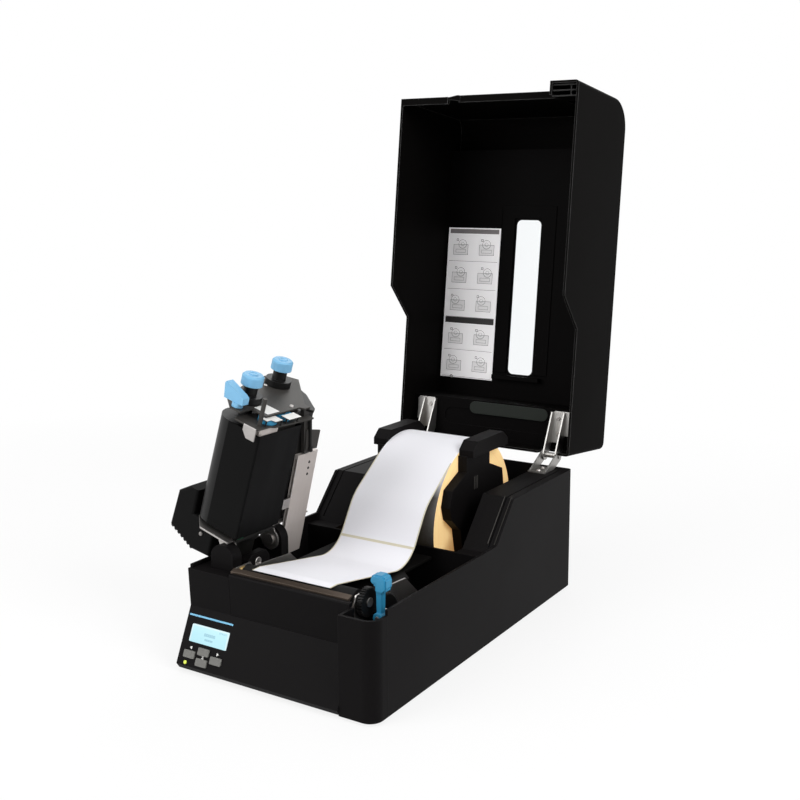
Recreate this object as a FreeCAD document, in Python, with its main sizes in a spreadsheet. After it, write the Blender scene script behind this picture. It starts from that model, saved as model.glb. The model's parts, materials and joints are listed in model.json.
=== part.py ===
import FreeCAD, Part
import os
import re
import Sketcher

# Desktop thermal-transfer label printer, shown open: lid back, print head swung up.
# Millimetres. X to the right, Y to the rear, Z up.
# Drawn about the middle of the case at table level, then placed with the origin under the front left foot.

doc = FreeCAD.newDocument("label_printer")
sheet = doc.addObject("Spreadsheet::Sheet", "Sizes")

# Driving sizes
sizes = {
    # case
    "case_width": 210,
    "case_depth": 375,
    "case_wall": 2.6,
    "case_corner": 5,
    "foot_height": 2.5,
    "foot_radius": 9,
    "foot_inset_x": 20,
    "foot_inset_y": 24,
    "rim_low": 92.5,
    "rim_high": 129.5,
    "step_foot_y": 18,
    "step_top_y": 52,
    "seam_y": -168,
    "part_gap": 0.3,
    "plate_thick": 1.5,
    # roll bay and side bins
    "bay_half": 70,
    "bay_front_y": 3,
    "bay_floor": 9,
    "bin_setback": 3,
    "bin_groove_wide": 1.6,
    "bin_groove_deep": 1.2,
    # front cover
    "toe_reach": 2,
    "toe_z": 7.5,
    "toe_chamfer": 3.5,
    "crease_y": -169,
    "crease_z": 54.5,
    "fascia_top_y": -171,
    "block_top": 89.5,
    "block_right_x": -58,
    "block_back_y": -144,
    "pillar_left_x": 70,
    "pillar_top": 88,
    "pillar_corner": 12,
    "bezel_top": 92,
    "bezel_lip_y": -166.5,
    # operator panel, v measured down the slope from the crease
    "display_left_x": -97,
    "display_wide": 42.5,
    "display_top_v": -14.8,
    "display_tall": 15.2,
    "keys_mid_x": -77.4,
    "keys_mid_v": -40.9,
    "key_side": 15.2,
    "key_rise": 4.6,
    "key_wide": 12.4,
    "key_tall": 6.6,
    "key_proud": 1.2,
    "key_deep": 3,
    "key_gap": 0.25,
    "lamp_x": -95.5,
    "lamp_v": -48.5,
    "lamp_radius": 1.6,
    "accent_left_x": -103,
    "accent_right_x": -53,
    "accent_v": -7.5,
    "accent_tall": 1.6,
    "accent_deep": 0.6,
    "panel_proud": 0.3,
    "board_thick": 1.6,
    "panel_boss": 3,
    "panel_boss_radius": 2.4,
    # print mechanism
    "frame_left_x": 60,
    "frame_right_x": 66,
    "frame_front_y": -164,
    "frame_back_y": -60,
    "frame_foot": 9,
    "deck_top": 88,
    "tray_top": 77,
    "deck_thick": 2.5,
    "deck_front_y": -136,
    "deck_right_x": 57,
    "deck_narrow_x": 44.5,
    "deck_narrow_y": -60,
    "platen_y": -148,
    "platen_z": 86.5,
    "platen_radius": 8.5,
    "platen_left_x": -56,
    "platen_right_x": 62,
    "platen_shaft": 4,
    "bush_radius": 6.3,
    "run_fit": 0.05,
    "gear_x": 69,
    "gear_wide": 5,
    "tooth_module": 0.8,
    "platen_teeth": 30,
    "idler_teeth": 50,
    "motor_teeth": 15,
    "train_angle": 41,
    "stud_radius": 3,
    "motor_square": 42,
    "motor_long": 34,
    "motor_pilot": 11,
    "motor_shaft": 2.5,
    "tear_front_y": -166,
    "tear_back_y": -160.5,
    "tear_top": 95.2,
    "tear_thick": 2,
    # label stock
    "roll_y": 87,
    "roll_z": 93.5,
    "roll_radius": 79,
    "core_outer": 21,
    "core_inner": 19.5,
    "label_half": 42,
    "web_thick": 0.4,
    "web_leave_angle": 125,
    "web_drop": 45,
    "web_crown": 55,
    "web_steep": 238,
    "web_fall": 25,
    "web_sag": 35,
    "web_rise": 170,
    "web_end_y": -158,
    # media holders
    "holder_thick": 10,
    "holder_cap": 16,
    "hub_deep": 9,
    "rail_radius": 4,
    "rail_reach": 42,
    "rail_z": 15,
    # print head swing
    "head_pin_x": -75,
    "head_pin_z": 100,
    "head_open": 73,
    "head_pin_radius": 5,
    "knuckle_radius": 12.6,
    "knuckle_front_y": -160,
    "knuckle_long": 12,
    "rear_knuckle_y": -92,
    "rear_knuckle_long": 10,
    "ear_radius": 10,
    "end_plate_x": 58,
    "side_plate_x": -62,
    "film_left_x": -57,
    "film_wide": 101,
    "film_thick": 0.4,
    "film_z": 96.4,
    "film_corner": 1.5,
    "film_bend_y": -92,
    "takeup_y": -130,
    "takeup_z": 132,
    "takeup_radius": 20,
    "supply_y": -72,
    "supply_z": 146,
    "supply_radius": 29,
    "spindle_radius": 6,
    "journal_radius": 4,
    "knob_start_x": 75.3,
    "knob_thick": 9.5,
    "knob_radius": 9.8,
    "clutch_radius": 12,
    "clutch_thick": 6,
    "knob_round": 1.5,
    "head_bar_z": 96.9,
    "head_bar_tall": 9,
    "head_bar_back_y": -126,
    "head_bar_front_y": -149,
    "bridge_z": 99.5,
    "bridge_back_y": -97,
    "bridge_flange": 8,
    "arm_left_x": -96,
    "arm_right_x": 8,
    "arm_front_y": -80,
    "arm_back_y": -50,
    "arm_z": 94.6,
    "arm_thick": 4,
    "arm_slot": 4,
    "arm_tab_y": -69,
    "arm_tab_wide": 7,
    "arm_tab_foot_y": -87,
    "arm_tilt": 3.5,
    "sensor_x": -39,
    "sensor_wide": 10,
    "sensor_reach": 10.5,
    "sensor_thick": 1.6,
    "dial_radius": 8.5,
    "dial_thick": 4.5,
    "dial_z": 104,
    "dial_front_y": -134,
    "dial_pitch": 20,
    "dial_stud": 2.5,
    "lever_y": -150,
    "lever_z": 127,
    "lever_stub": 3,
    "lever_start_x": 64,
    "lever_wide": 8,
    "lever_long": 23,
    "lever_rise": 15,
    "cover_back_y": -106,
    "cover_front_y": -142,
    "cover_round": 3,
    "ribbon_motor_y": -118,
    "ribbon_motor_z": 113,
    "ribbon_motor_radius": 11,
    "ribbon_motor_long": 22,
    "head_bar_right_x": 50,
    # head latch
    "latch_x": 85,
    "latch_z": 76,
    "latch_front_y": -153,
    "latch_wide": 11,
    "latch_pin_radius": 2,
    "catch_y": -147.5,
    "catch_z": 101.5,
    "catch_radius": 2,
    "catch_end_x": 77,
    # lid
    "lid_gap": 1,
    "lid_wall": 2.6,
    "lid_front_y": -198,
    "lid_brow_y": -190,
    "lid_left_brow_y": -186.5,
    "lid_rim_band": 7.5,
    "lid_rim_thick": 4,
    "lid_rear_y": 186,
    "lid_top": 228.5,
    "lid_front_round": 32,
    "lid_rear_round": 8,
    "lid_edge": 4,
    "lid_pin_y": 188,
    "lid_pin_z": 141,
    "lid_open": 96.5,
    "chunk_left_x": 73,
    "outlet_left_x": -46,
    "outlet_top": 106,
    "liner_z": 207.5,
    "liner_thick": 2.2,
    "liner_front_y": -146,
    "liner_step_y": 140,
    "liner_shelf_z": 155.5,
    "slot_left_x": -12,
    "slot_wide": 31,
    "slot_front_y": -66,
    "slot_long": 177,
    "slot_round": 6,
    "ledge_left_x": -28,
    "ledge_wide": 59,
    "ledge_tall": 8,
    "ledge_thick": 4.5,
    "pane_left_x": -36,
    "pane_wide": 68,
    "pane_thick": 2,
    "guide_left_x": -100,
    "guide_wide": 69,
    "guide_front_y": -55.5,
    "guide_long": 176.5,
    "guide_thick": 0.8,
    # lid hinges
    "hinge_x": 80,
    "hinge_half": 9.5,
    "hinge_sheet": 1.5,
    "hinge_pin": 3,
    "hinge_eye": 6,
    "bracket_front_y": 152,
    "bracket_back_y": 176,
    "leaf_front_y": 143,
    "leaf_back_y": 176,
    # rear connections
    "inlet_z": 34,
    "inlet_wide": 20,
    "inlet_tall": 27.4,
    "inlet_deep": 24,
    "rocker_z": 70,
    "rocker_wide": 13,
    "rocker_tall": 19,
    "rocker_deep": 14,
    "rocker_pin": 0.8,
    "board_x": -99,
    "board_front_y": 48,
    "board_z": 12,
    "board_tall": 96,
    "port_wide": 14,
    "port_tall": 13,
    "port_deep": 17,
    "port_pitch": 22,
}
for row, (name, value) in enumerate(sizes.items(), start=1):
    sheet.set(f"A{row}", name)
    sheet.set(f"B{row}", str(value))
    sheet.setAlias(f"B{row}", name)
doc.recompute()

# Sizes that follow from the driving ones
derived = {
    "half_width": "case_width/2",
    "inner_half": "case_width/2-case_wall",
    "rear_y": "case_depth/2",
    "pillar_y": "-case_depth/2",
    "toe_y": "-case_depth/2-toe_reach",
    "panel_lean": "atan((crease_y-toe_y)/(crease_z-toe_z))",
    "step_slope": "(step_top_y-step_foot_y)/(rim_high-rim_low)",
    "deck_bottom": "deck_top-deck_thick",
    "tray_bottom": "tray_top-deck_thick",
    "bin_groove_x": "case_width/2-10",
    "inlet_x": "(bay_half+case_width/2)/2",
    "floor_top": "foot_height+plate_thick",
    "lid_low": "rim_low+lid_gap",
    "lid_high": "rim_high+lid_gap",
    "lid_left": "-case_width/2",
    "shift_x": "case_width/2-foot_inset_x",
    "shift_y": "case_depth/2-foot_inset_y",
    "idler_y": "platen_y+cos(train_angle)*tooth_module*(platen_teeth+idler_teeth)/2",
    "idler_z": "platen_z-sin(train_angle)*tooth_module*(platen_teeth+idler_teeth)/2",
    "motor_y": "idler_y+cos(train_angle)*tooth_module*(idler_teeth+motor_teeth)/2",
    "motor_z": "idler_z-sin(train_angle)*tooth_module*(idler_teeth+motor_teeth)/2",
    "web_roll": "roll_radius+part_gap+web_thick/2",
    "web_leave_y": "roll_y+web_roll*cos(web_leave_angle)",
    "web_leave_z": "roll_z+web_roll*sin(web_leave_angle)",
    "web_head": "web_leave_angle+90",
    "web_crest_y": "web_leave_y+web_drop*cos(web_head)",
    "web_crest_z": "web_leave_z+web_drop*sin(web_head)",
    "web_brow_y": "web_crest_y-web_crown*sin(web_head)+web_crown*sin(web_steep)",
    "web_brow_z": "web_crest_z+web_crown*cos(web_head)-web_crown*cos(web_steep)",
    "web_dip_y": "web_brow_y+web_fall*cos(web_steep)",
    "web_dip_z": "web_brow_z+web_fall*sin(web_steep)",
    "web_foot_y": "web_dip_y+web_sag*sin(web_steep)-web_sag*sin(web_rise)",
    "web_foot_z": "web_dip_z-web_sag*cos(web_steep)+web_sag*cos(web_rise)",
    "holder_in_x": "label_half+part_gap",
    "holder_out_x": "label_half+part_gap+holder_thick",
    "end_plate_out": "end_plate_x+plate_thick",
    "side_plate_in": "side_plate_x+plate_thick",
    "cap_x": "head_bar_right_x+part_gap",
    "cap_out": "head_bar_right_x+part_gap+plate_thick",
    "dial_x": "head_bar_right_x+2*part_gap+plate_thick",
    "film_right_x": "film_left_x+film_wide",
    "film_front_y": "takeup_y-takeup_radius-part_gap-film_thick/2",
    "arm_top": "arm_z+arm_thick",
    "dial_rear_y": "dial_front_y+dial_pitch",
    "shell_top_in": "lid_top-lid_wall",
    "shelf_top": "liner_shelf_z+liner_thick",
    "slot_right_x": "slot_left_x+slot_wide",
    "slot_rear_y": "slot_front_y+slot_long",
}
first_derived = len(sizes) + 2
for row, (name, formula) in enumerate(derived.items(), start=first_derived):
    sheet.set(f"A{row}", name)
    sheet.set(f"B{row}", "=" + formula)
    sheet.setAlias(f"B{row}", name)
doc.recompute()
known = set(sizes) | set(derived)


def bind(text):
    """An expression on the sheet's names, as an object outside the sheet writes it."""
    return re.sub(r"[a-z_]+", lambda word: "Sizes." + word[0] if word[0] in known else word[0], str(text))


def number(text):
    result = sheet.evalExpression(bind(text))
    return float(getattr(result, "Value", result))


def new_body(label):
    body = doc.addObject("PartDesign::Body", label)
    body.Label = label
    body.AllowCompound = True
    return body


roles = {"XY": "XY_Plane", "XZ": "XZ_Plane", "YZ": "YZ_Plane", "panel": "XZ_Plane"}


def new_sketch(body, plane, level):
    """A sketch at a height along the plane's own direction: Z, Y, X, or square to the operator panel."""
    sketch = body.newObject("Sketcher::SketchObject", body.Label + "_outline")
    origin_plane = [item for item in body.Origin.OriginFeatures if item.Role == roles[plane]][0]
    sketch.AttachmentSupport = [(origin_plane, "")]
    sketch.MapMode = "FlatFace"
    if plane == "panel":
        lean = FreeCAD.Rotation(FreeCAD.Vector(1, 0, 0), -1)
        sketch.AttachmentOffset = FreeCAD.Placement(FreeCAD.Vector(), lean)
        sketch.setExpression("AttachmentOffset.Rotation.Angle", bind("-panel_lean"))
        sketch.setExpression("AttachmentOffset.Base.y", bind(f"crease_z+sin(panel_lean)*({level})"))
        sketch.setExpression("AttachmentOffset.Base.z", bind(f"-crease_y+cos(panel_lean)*({level})"))
    elif plane == "XZ":
        sketch.setExpression("AttachmentOffset.Base.z", bind(f"-({level})"))
    else:
        sketch.setExpression("AttachmentOffset.Base.z", bind(f"{level}"))
    return sketch


def pin_point(sketch, edge, end, place):
    for axis, kind, line in ((0, "DistanceX", -2), (1, "DistanceY", -1)):
        value = number(place[axis])
        if abs(value) < 1e-9:
            sketch.addConstraint(Sketcher.Constraint("PointOnObject", edge, end, line))
            continue
        index = sketch.addConstraint(Sketcher.Constraint(kind, -1, 1, edge, end, value))
        sketch.setExpression(f"Constraints[{index}]", bind(place[axis]))


def draw_circle(sketch, place, radius):
    centre = FreeCAD.Vector(number(place[0]), number(place[1]), 0)
    edge = sketch.addGeometry(Part.Circle(centre, FreeCAD.Vector(0, 0, 1), number(radius)), False)
    pin_point(sketch, edge, 3, place)
    index = sketch.addConstraint(Sketcher.Constraint("Radius", edge, number(radius)))
    sketch.setExpression(f"Constraints[{index}]", bind(radius))


def draw_loop(sketch, points):
    """A closed outline. A third entry on a point is the signed radius of the arc that arrives there."""
    places = [FreeCAD.Vector(number(point[0]), number(point[1]), 0) for point in points]
    edges = []
    for index, point in enumerate(points):
        start, stop = places[index - 1], places[index]
        if len(point) == 2:
            edges.append(sketch.addGeometry(Part.LineSegment(start, stop), False))
            continue
        radius = number(point[2])
        chord = stop - start
        half = chord.Length / 2
        rise = max(radius * radius - half * half, 0) ** 0.5
        side = FreeCAD.Vector(-chord.y, chord.x, 0).normalize() * (1 if radius > 0 else -1)
        centre = (start + stop) * 0.5 + side * rise
        bulge = centre - side * abs(radius)
        edges.append(sketch.addGeometry(Part.Arc(start, bulge, stop), False))
        # a drawn arc always runs counter-clockwise, so its own ends may be swapped
    ends = []
    for edge, point in zip(edges, points):
        swapped = len(point) == 3 and number(point[2]) < 0
        ends.append((2, 1) if swapped else (1, 2))
    for index, edge in enumerate(edges):
        follower = (index + 1) % len(edges)
        joint = Sketcher.Constraint("Coincident", edge, ends[index][1], edges[follower], ends[follower][0])
        sketch.addConstraint(joint)
    for index, (edge, point) in enumerate(zip(edges, points)):
        pin_point(sketch, edge, ends[index][1], point)
        if len(point) == 3:
            bound = sketch.addConstraint(Sketcher.Constraint("Radius", edge, abs(number(point[2]))))
            sketch.setExpression(f"Constraints[{bound}]", bind(f"abs({point[2]})"))


def draw(sketch, outlines):
    for outline in outlines:
        if outline[0] == "circle":
            draw_circle(sketch, outline[1:3], outline[3])
        else:
            draw_loop(sketch, outline)


def add(body, plane, outlines, start, stop):
    """Add material between two levels along the plane's direction."""
    sketch = new_sketch(body, plane, stop if plane == "XZ" else start)
    draw(sketch, outlines)
    pad = body.newObject("PartDesign::Pad", body.Label + "_add")
    pad.Profile = sketch
    pad.setExpression("Length", bind(f"({stop})-({start})"))
    return pad


def cut(body, plane, outlines, start, stop):
    """Take material away between two levels along the plane's direction."""
    sketch = new_sketch(body, plane, start if plane == "XZ" else stop)
    draw(sketch, outlines)
    pocket = body.newObject("PartDesign::Pocket", body.Label + "_cut")
    pocket.Profile = sketch
    pocket.setExpression("Length", bind(f"({stop})-({start})"))
    return pocket


def box(left, right, low, high):
    return [(left, low), (right, low), (right, high), (left, high)]


def round_box(left, right, low, high, radius):
    near_x, far_x = f"{left}+({radius})", f"{right}-({radius})"
    near_y, far_y = f"{low}+({radius})", f"{high}-({radius})"
    return [
        (far_x, low), (right, near_y, radius), (right, far_y), (far_x, high, radius),
        (near_x, high), (left, far_y, radius), (left, near_y), (near_x, low, radius),
    ]


def soften(body, radius, wanted, flat=False):
    """Round, or bevel when flat, the edges whose middle point the test accepts."""
    doc.recompute()
    names = []
    for index, edge in enumerate(body.Shape.Edges, start=1):
        middle = edge.CenterOfMass
        if wanted(edge, middle):
            names.append(f"Edge{index}")
    edged = body.newObject("PartDesign::Chamfer" if flat else "PartDesign::Fillet", body.Label + "_round")
    edged.Base = (body.Tip if body.Tip != edged else edged.BaseFeature, names)
    edged.setExpression("Size" if flat else "Radius", bind(radius))
    return edged


def along(edge, direction):
    return abs(edge.tangentAt(edge.FirstParameter).dot(direction)) > 0.999


axis_x = FreeCAD.Vector(1, 0, 0)
axis_y = FreeCAD.Vector(0, 1, 0)
axis_z = FreeCAD.Vector(0, 0, 1)
near = 0.01


def swing_lid(body):
    spin = "rotation(vector(1; 0; 0); -lid_open)"
    move = f"placement(vector(shift_x; shift_y; 0); {spin}; vector(0; lid_pin_y; lid_pin_z))"
    body.setExpression("Placement", bind(move))


def swing_head(body, more="0"):
    spin = f"rotation(vector(0; 1; 0); -head_open-{more})"
    move = f"placement(vector(shift_x; shift_y; 0); {spin}; vector(head_pin_x; 0; head_pin_z))"
    body.setExpression("Placement", bind(move))


nodes = []


def node(label):
    body = new_body(label)
    nodes.append(body)
    return body


# Base housing: one moulding with the stepped rim, the roll bay and the two hollow side bins
def build_base_housing():
    body = node("base_housing")
    add(body, "YZ", [[
        ("seam_y", "foot_height"), ("rear_y", "foot_height"), ("rear_y", "rim_high"),
        ("step_top_y", "rim_high"), ("step_foot_y", "rim_low"), ("seam_y", "rim_low"),
    ]], "-half_width", "half_width")
    rear = number("rear_y")
    soften(body, "case_corner", lambda edge, mid: along(edge, axis_z) and abs(mid.y - rear) < near)
    slant_foot = "step_foot_y+bin_setback-(rim_low-deck_bottom)*step_slope"
    slant_top = "step_top_y+bin_setback+step_slope"
    cut(body, "YZ", [[
        ("seam_y-1", "foot_height-1"), ("bay_front_y-case_wall", "foot_height-1"),
        ("bay_front_y-case_wall", "deck_bottom"), (slant_foot, "deck_bottom"),
        (slant_top, "rim_high+1"), ("seam_y-1", "rim_high+1"),
    ]], "-inner_half", "inner_half")
    cut(body, "XY", [box("-bay_half", "bay_half", "bay_front_y", "rear_y-case_wall")], "bay_floor",
        "rim_high+1")
    cut(body, "XY", [box("-bay_half", "bay_half", "bay_front_y", "rear_y-case_wall")],
        "foot_height-1", "bay_floor-case_wall")
    slant_gap = "case_wall*1.4"
    hollow = [
        ("bay_front_y", "foot_height-1"), ("rear_y-case_wall", "foot_height-1"),
        ("rear_y-case_wall", "rim_high-case_wall"),
        (f"step_top_y+bin_setback+{slant_gap}", "rim_high-case_wall"),
        (f"{slant_foot}+{slant_gap}", "deck_bottom-case_wall"), ("bay_front_y", "deck_bottom-case_wall"),
    ]
    cut(body, "YZ", [hollow], "bay_half+case_wall", "inner_half")
    cut(body, "YZ", [hollow], "-inner_half", "-bay_half-case_wall")
    rebate = box("-inner_half", "inner_half", "seam_y-1", "rear_y-case_wall")
    cut(body, "XY", [rebate], "foot_height-1", "floor_top")
    groove_foot = f"{slant_foot}+4*step_slope"
    groove = [
        (f"{groove_foot}-2", "deck_bottom+4"), (f"{groove_foot}+bin_groove_deep*1.36", "deck_bottom+4"),
        ("step_top_y+bin_setback+bin_groove_deep*0.5", "rim_high-bin_groove_deep"),
        ("rear_y-case_wall-12", "rim_high-bin_groove_deep"), ("rear_y-case_wall-12", "rim_high+2"),
        ("step_top_y+bin_setback-1", "rim_high+2"),
    ]
    cut(body, "YZ", [groove], "bin_groove_x", "bin_groove_x+bin_groove_wide")
    cut(body, "YZ", [groove], "-bin_groove_x-bin_groove_wide", "-bin_groove_x")
    cut(body, "XZ", [
        box("inlet_x-inlet_wide/2", "inlet_x+inlet_wide/2", "inlet_z-inlet_tall/2", "inlet_z+inlet_tall/2"),
        box("inlet_x-rocker_wide/2", "inlet_x+rocker_wide/2", "rocker_z-rocker_tall/2",
            "rocker_z+rocker_tall/2"),
    ], "rear_y-case_wall-1", "rear_y+1")
    cut(body, "XZ", [port_hole(index) for index in range(3)], "rear_y-case_wall-1", "rear_y+1")
    bosses = [("circle", spot_y, spot_z, "stud_radius") for spot_y, spot_z in board_spots()]
    add(body, "YZ", bosses, "-inner_half", "board_x")


def port_hole(index):
    low = f"board_z+10+{index}*port_pitch"
    left = "board_x+board_thick"
    return box(f"{left}-key_gap", f"{left}+1+port_wide+key_gap", f"{low}-key_gap", f"{low}+port_tall+key_gap")


def board_spots():
    near_y, far_y = "board_front_y+8", "rear_y-port_deep-12"
    low_z, high_z = "board_z+8", "board_z+board_tall-8"
    return [(near_y, low_z), (far_y, low_z), (near_y, high_z), (far_y, high_z)]


# Front cover: left block, sloping operator panel and the tall right-hand pillar in one moulding
def build_front_cover():
    body = node("front_cover")
    add(body, "YZ", [[
        ("seam_y", "foot_height"), ("toe_y+toe_chamfer", "foot_height"), ("toe_y", "toe_z"),
        ("crease_y", "crease_z"), ("fascia_top_y", "block_top"), ("seam_y", "block_top"),
    ]], "-half_width", "pillar_left_x")
    add(body, "XY", [[
        ("pillar_left_x", "seam_y"), ("pillar_left_x", "pillar_y"), ("half_width-pillar_corner", "pillar_y"),
        ("half_width", "pillar_y+pillar_corner", "pillar_corner"), ("half_width", "seam_y"),
    ]], "foot_height", "pillar_top")
    skin = "case_wall*1.1"
    cut(body, "YZ", [[
        ("seam_y+1", "foot_height-1"), (f"toe_y+toe_chamfer+{skin}", "foot_height-1"),
        (f"toe_y+{skin}", "toe_z"),
        (f"crease_y+{skin}", "crease_z"), (f"fascia_top_y+{skin}", "block_top-case_wall"),
        ("seam_y+1", "block_top-case_wall"),
    ]], "-inner_half", "pillar_left_x")
    cut(body, "XY", [[
        ("pillar_left_x+case_wall", "seam_y+1"), ("pillar_left_x+case_wall", "pillar_y+case_wall"),
        ("half_width-pillar_corner", "pillar_y+case_wall"),
        ("inner_half", "pillar_y+pillar_corner", "pillar_corner-case_wall"), ("inner_half", "seam_y+1"),
    ]], "foot_height-1", "pillar_top+1")
    cut(body, "XY", [box("block_right_x", "pillar_left_x", "toe_y-1", "seam_y+1")], "crease_z", "block_top+1")
    block_edge = "-frame_left_x-plate_thick-part_gap"
    add(body, "XY", [box("-inner_half+part_gap", block_edge, "seam_y", "block_back_y")],
        "block_top-case_wall", "block_top")
    cut(body, "XY", [box("-inner_half", "inner_half", "toe_y+toe_chamfer+case_wall+1-part_gap", "seam_y+1")],
        "foot_height-1", "floor_top")
    cut(body, "panel", [
        round_box("display_left_x-key_gap", "display_left_x+display_wide+key_gap",
                  "display_top_v-display_tall-key_gap", "display_top_v+key_gap", "1"),
        ("circle", "lamp_x", "lamp_v", "lamp_radius+key_gap"),
    ] + [key_outline(side, rise, "key_gap") for side, rise in key_places.values()], "-3*case_wall", "2")
    cut(body, "panel", [accent_outline()], "-accent_deep", "2")
    spots = [("circle", u, v, "panel_boss_radius") for u, v in panel_spots()]
    add(body, "panel", spots, "-case_wall-panel_boss", "-case_wall*0.8")


key_places = {"key_left": (-1, 0), "key_right": (1, 0), "key_up": (0, 1), "key_down": (0, -1)}


def key_outline(side, rise, gap):
    mid_u = f"keys_mid_x+({side})*key_side"
    mid_v = f"keys_mid_v+({rise})*key_rise"
    return round_box(f"{mid_u}-key_wide/2-{gap}", f"{mid_u}+key_wide/2+{gap}",
                     f"{mid_v}-key_tall/2-{gap}", f"{mid_v}+key_tall/2+{gap}", "1")


def accent_outline():
    return box("accent_left_x", "accent_right_x", "accent_v-accent_tall/2", "accent_v+accent_tall/2")


def panel_spots():
    left, right = "display_left_x-2", "display_left_x+display_wide+2"
    return [(left, "display_top_v-display_tall-4"), (right, "display_top_v-display_tall-4"),
            (left, "display_top_v+3.5"), (right, "display_top_v+3.5")]


def build_panel_pieces():
    window = node("display_window")
    add(window, "panel", [round_box("display_left_x", "display_left_x+display_wide",
                                    "display_top_v-display_tall", "display_top_v", "1")], "-case_wall",
                                    "panel_proud")
    accent = node("accent_strip")
    add(accent, "panel", [accent_outline()], "-accent_deep", "panel_proud")
    lamp = node("status_lamp")
    add(lamp, "panel", [("circle", "lamp_x", "lamp_v", "lamp_radius")], "-case_wall-panel_boss",
        "panel_proud")
    board = node("panel_board")
    top, low = "display_top_v+7", "lamp_v-1"
    add(board, "panel", [box("display_left_x-5", "display_left_x+display_wide+5", low, top)],
        "-case_wall-panel_boss-board_thick", "-case_wall-panel_boss")
    for label, (side, rise) in key_places.items():
        key = node(label)
        add(key, "panel", [key_outline(side, rise, "0")], "-key_deep", "key_proud")


# Outlet bezel: the upper middle strip of the front, hooked over the tear bar
def build_outlet_bezel():
    body = node("outlet_bezel")
    skin = "case_wall*1.1"
    add(body, "YZ", [[
        ("crease_y", "crease_z+part_gap"), (f"crease_y+{skin}", "crease_z+part_gap"),
        (f"fascia_top_y+{skin}", "bezel_top-case_wall"), ("bezel_lip_y", "bezel_top-case_wall"),
        ("bezel_lip_y", "bezel_top"), ("fascia_top_y+0.6", "bezel_top"), ("fascia_top_y", "bezel_top-1.2"),
    ]], "block_right_x+part_gap", "pillar_left_x-part_gap")


def build_floor():
    plate = node("bottom_plate")
    side = "inner_half-part_gap"
    add(plate, "XY", [box(f"-({side})", side, "toe_y+toe_chamfer+case_wall+1", "rear_y-case_wall-part_gap")],
        "foot_height", "floor_top")
    feet = node("rubber_feet")
    spots = [(x, y) for x in ("-half_width+foot_inset_x", "half_width-foot_inset_x")
             for y in ("-rear_y+foot_inset_y", "rear_y-foot_inset_y")]
    add(feet, "XY", [("circle", x, y, "foot_radius") for x, y in spots], "0", "foot_height")


# Print mechanism: two steel side frames, platen, gear train, motor, tear bar and media deck
def build_frames():
    outline = [
        ("frame_front_y", "floor_top"), ("frame_back_y", "floor_top"), ("frame_back_y", "deck_bottom-20"),
        ("frame_back_y-22", "deck_bottom"), ("platen_y+bush_radius+6", "deck_top+1"),
        ("platen_y+bush_radius+3", "platen_z+bush_radius+1"),
        ("platen_y-bush_radius-3", "platen_z+bush_radius+1"),
        ("frame_front_y", "platen_z-4"),
    ]
    bush_hole = ("circle", "platen_y", "platen_z", "bush_radius")
    for label, start, stop, foot in (
        ("left_frame", "-frame_left_x-plate_thick", "-frame_left_x",
            ("-frame_left_x", "-frame_left_x+frame_foot")),
        ("right_frame", "frame_right_x", "frame_right_x+plate_thick",
            ("frame_right_x-frame_foot", "frame_right_x")),
    ):
        body = node(label)
        holes = [bush_hole]
        if label == "right_frame":
            holes.append(("circle", "motor_y", "motor_z", "motor_pilot+part_gap"))
        add(body, "YZ", [outline] + holes, start, stop)
        add(body, "XY", [box(foot[0], foot[1], "frame_front_y", "frame_back_y")], "floor_top",
            "floor_top+plate_thick")
        if label == "right_frame":
            add(body, "YZ", [("circle", "idler_y", "idler_z", "stud_radius")], "frame_right_x",
                "gear_x+gear_wide+1")
            add(body, "XY",
                [box("frame_right_x", "latch_x+5", "latch_front_y+latch_wide+part_gap", "platen_y+28")],
                "floor_top", "floor_top+plate_thick")
            add(body, "XZ", [box("latch_x-5", "latch_x+5", "floor_top", "latch_z+5")],
                "latch_front_y+latch_wide+part_gap", "latch_front_y+latch_wide+part_gap+plate_thick")
            add(body, "XZ", [("circle", "latch_x", "latch_z", "latch_pin_radius")],
                "latch_front_y-1", "latch_front_y+latch_wide+part_gap+plate_thick")


def build_platen():
    roller = node("platen_roller")
    centre = ("platen_y", "platen_z")
    add(roller, "YZ", [("circle", *centre, "platen_radius"), ("circle", *centre, "platen_shaft")],
        "platen_left_x", "platen_right_x")
    shaft = node("platen_shaft")
    add(shaft, "YZ", [("circle", *centre, "platen_shaft")], "-frame_left_x-plate_thick", "gear_x+gear_wide+1")
    bushes = node("platen_bushes")
    ring = [("circle", *centre, "bush_radius"), ("circle", *centre, "platen_shaft+run_fit")]
    add(bushes, "YZ", ring, "frame_right_x-1.5", "frame_right_x+plate_thick")
    add(bushes, "YZ", ring, "-frame_left_x-plate_thick", "-frame_left_x+1.5")


def build_gear(label, teeth, centre, bore, phase):
    """A spur gear about the X axis: hub, one straight-flanked tooth, and its copies round the axis."""
    body = node(label)
    root = f"tooth_module*({teeth}/2-1.15)"
    tip = f"tooth_module*({teeth}/2+0.85)"
    foot_half = "tooth_module*1.05"
    tip_half = "tooth_module*0.3"
    add(body, "YZ", [("circle", "0", "0", root)] + ([("circle", "0", "0", bore)] if bore else []), "0",
        "gear_wide")
    tooth = add(body, "YZ", [[
        (f"-({foot_half})", f"{root}-0.3"), (foot_half, f"{root}-0.3"), (tip_half, tip),
        (f"-({tip_half})", tip),
    ]], "0", "gear_wide")
    pattern = body.newObject("PartDesign::PolarPattern", label + "_teeth")
    pattern.Originals = [tooth]
    pattern.Axis = ([item for item in body.Origin.OriginFeatures if item.Role == "X_Axis"][0], [""])
    pattern.Angle = 360
    pattern.setExpression("Occurrences", bind(teeth))
    body.Tip = pattern
    spin = f"rotation(vector(1; 0; 0); {phase})"
    move = f"placement(vector(gear_x+shift_x; {centre[0]}+shift_y; {centre[1]}); {spin}; vector(0; 0; 0))"
    body.setExpression("Placement", bind(move))
    return body


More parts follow.
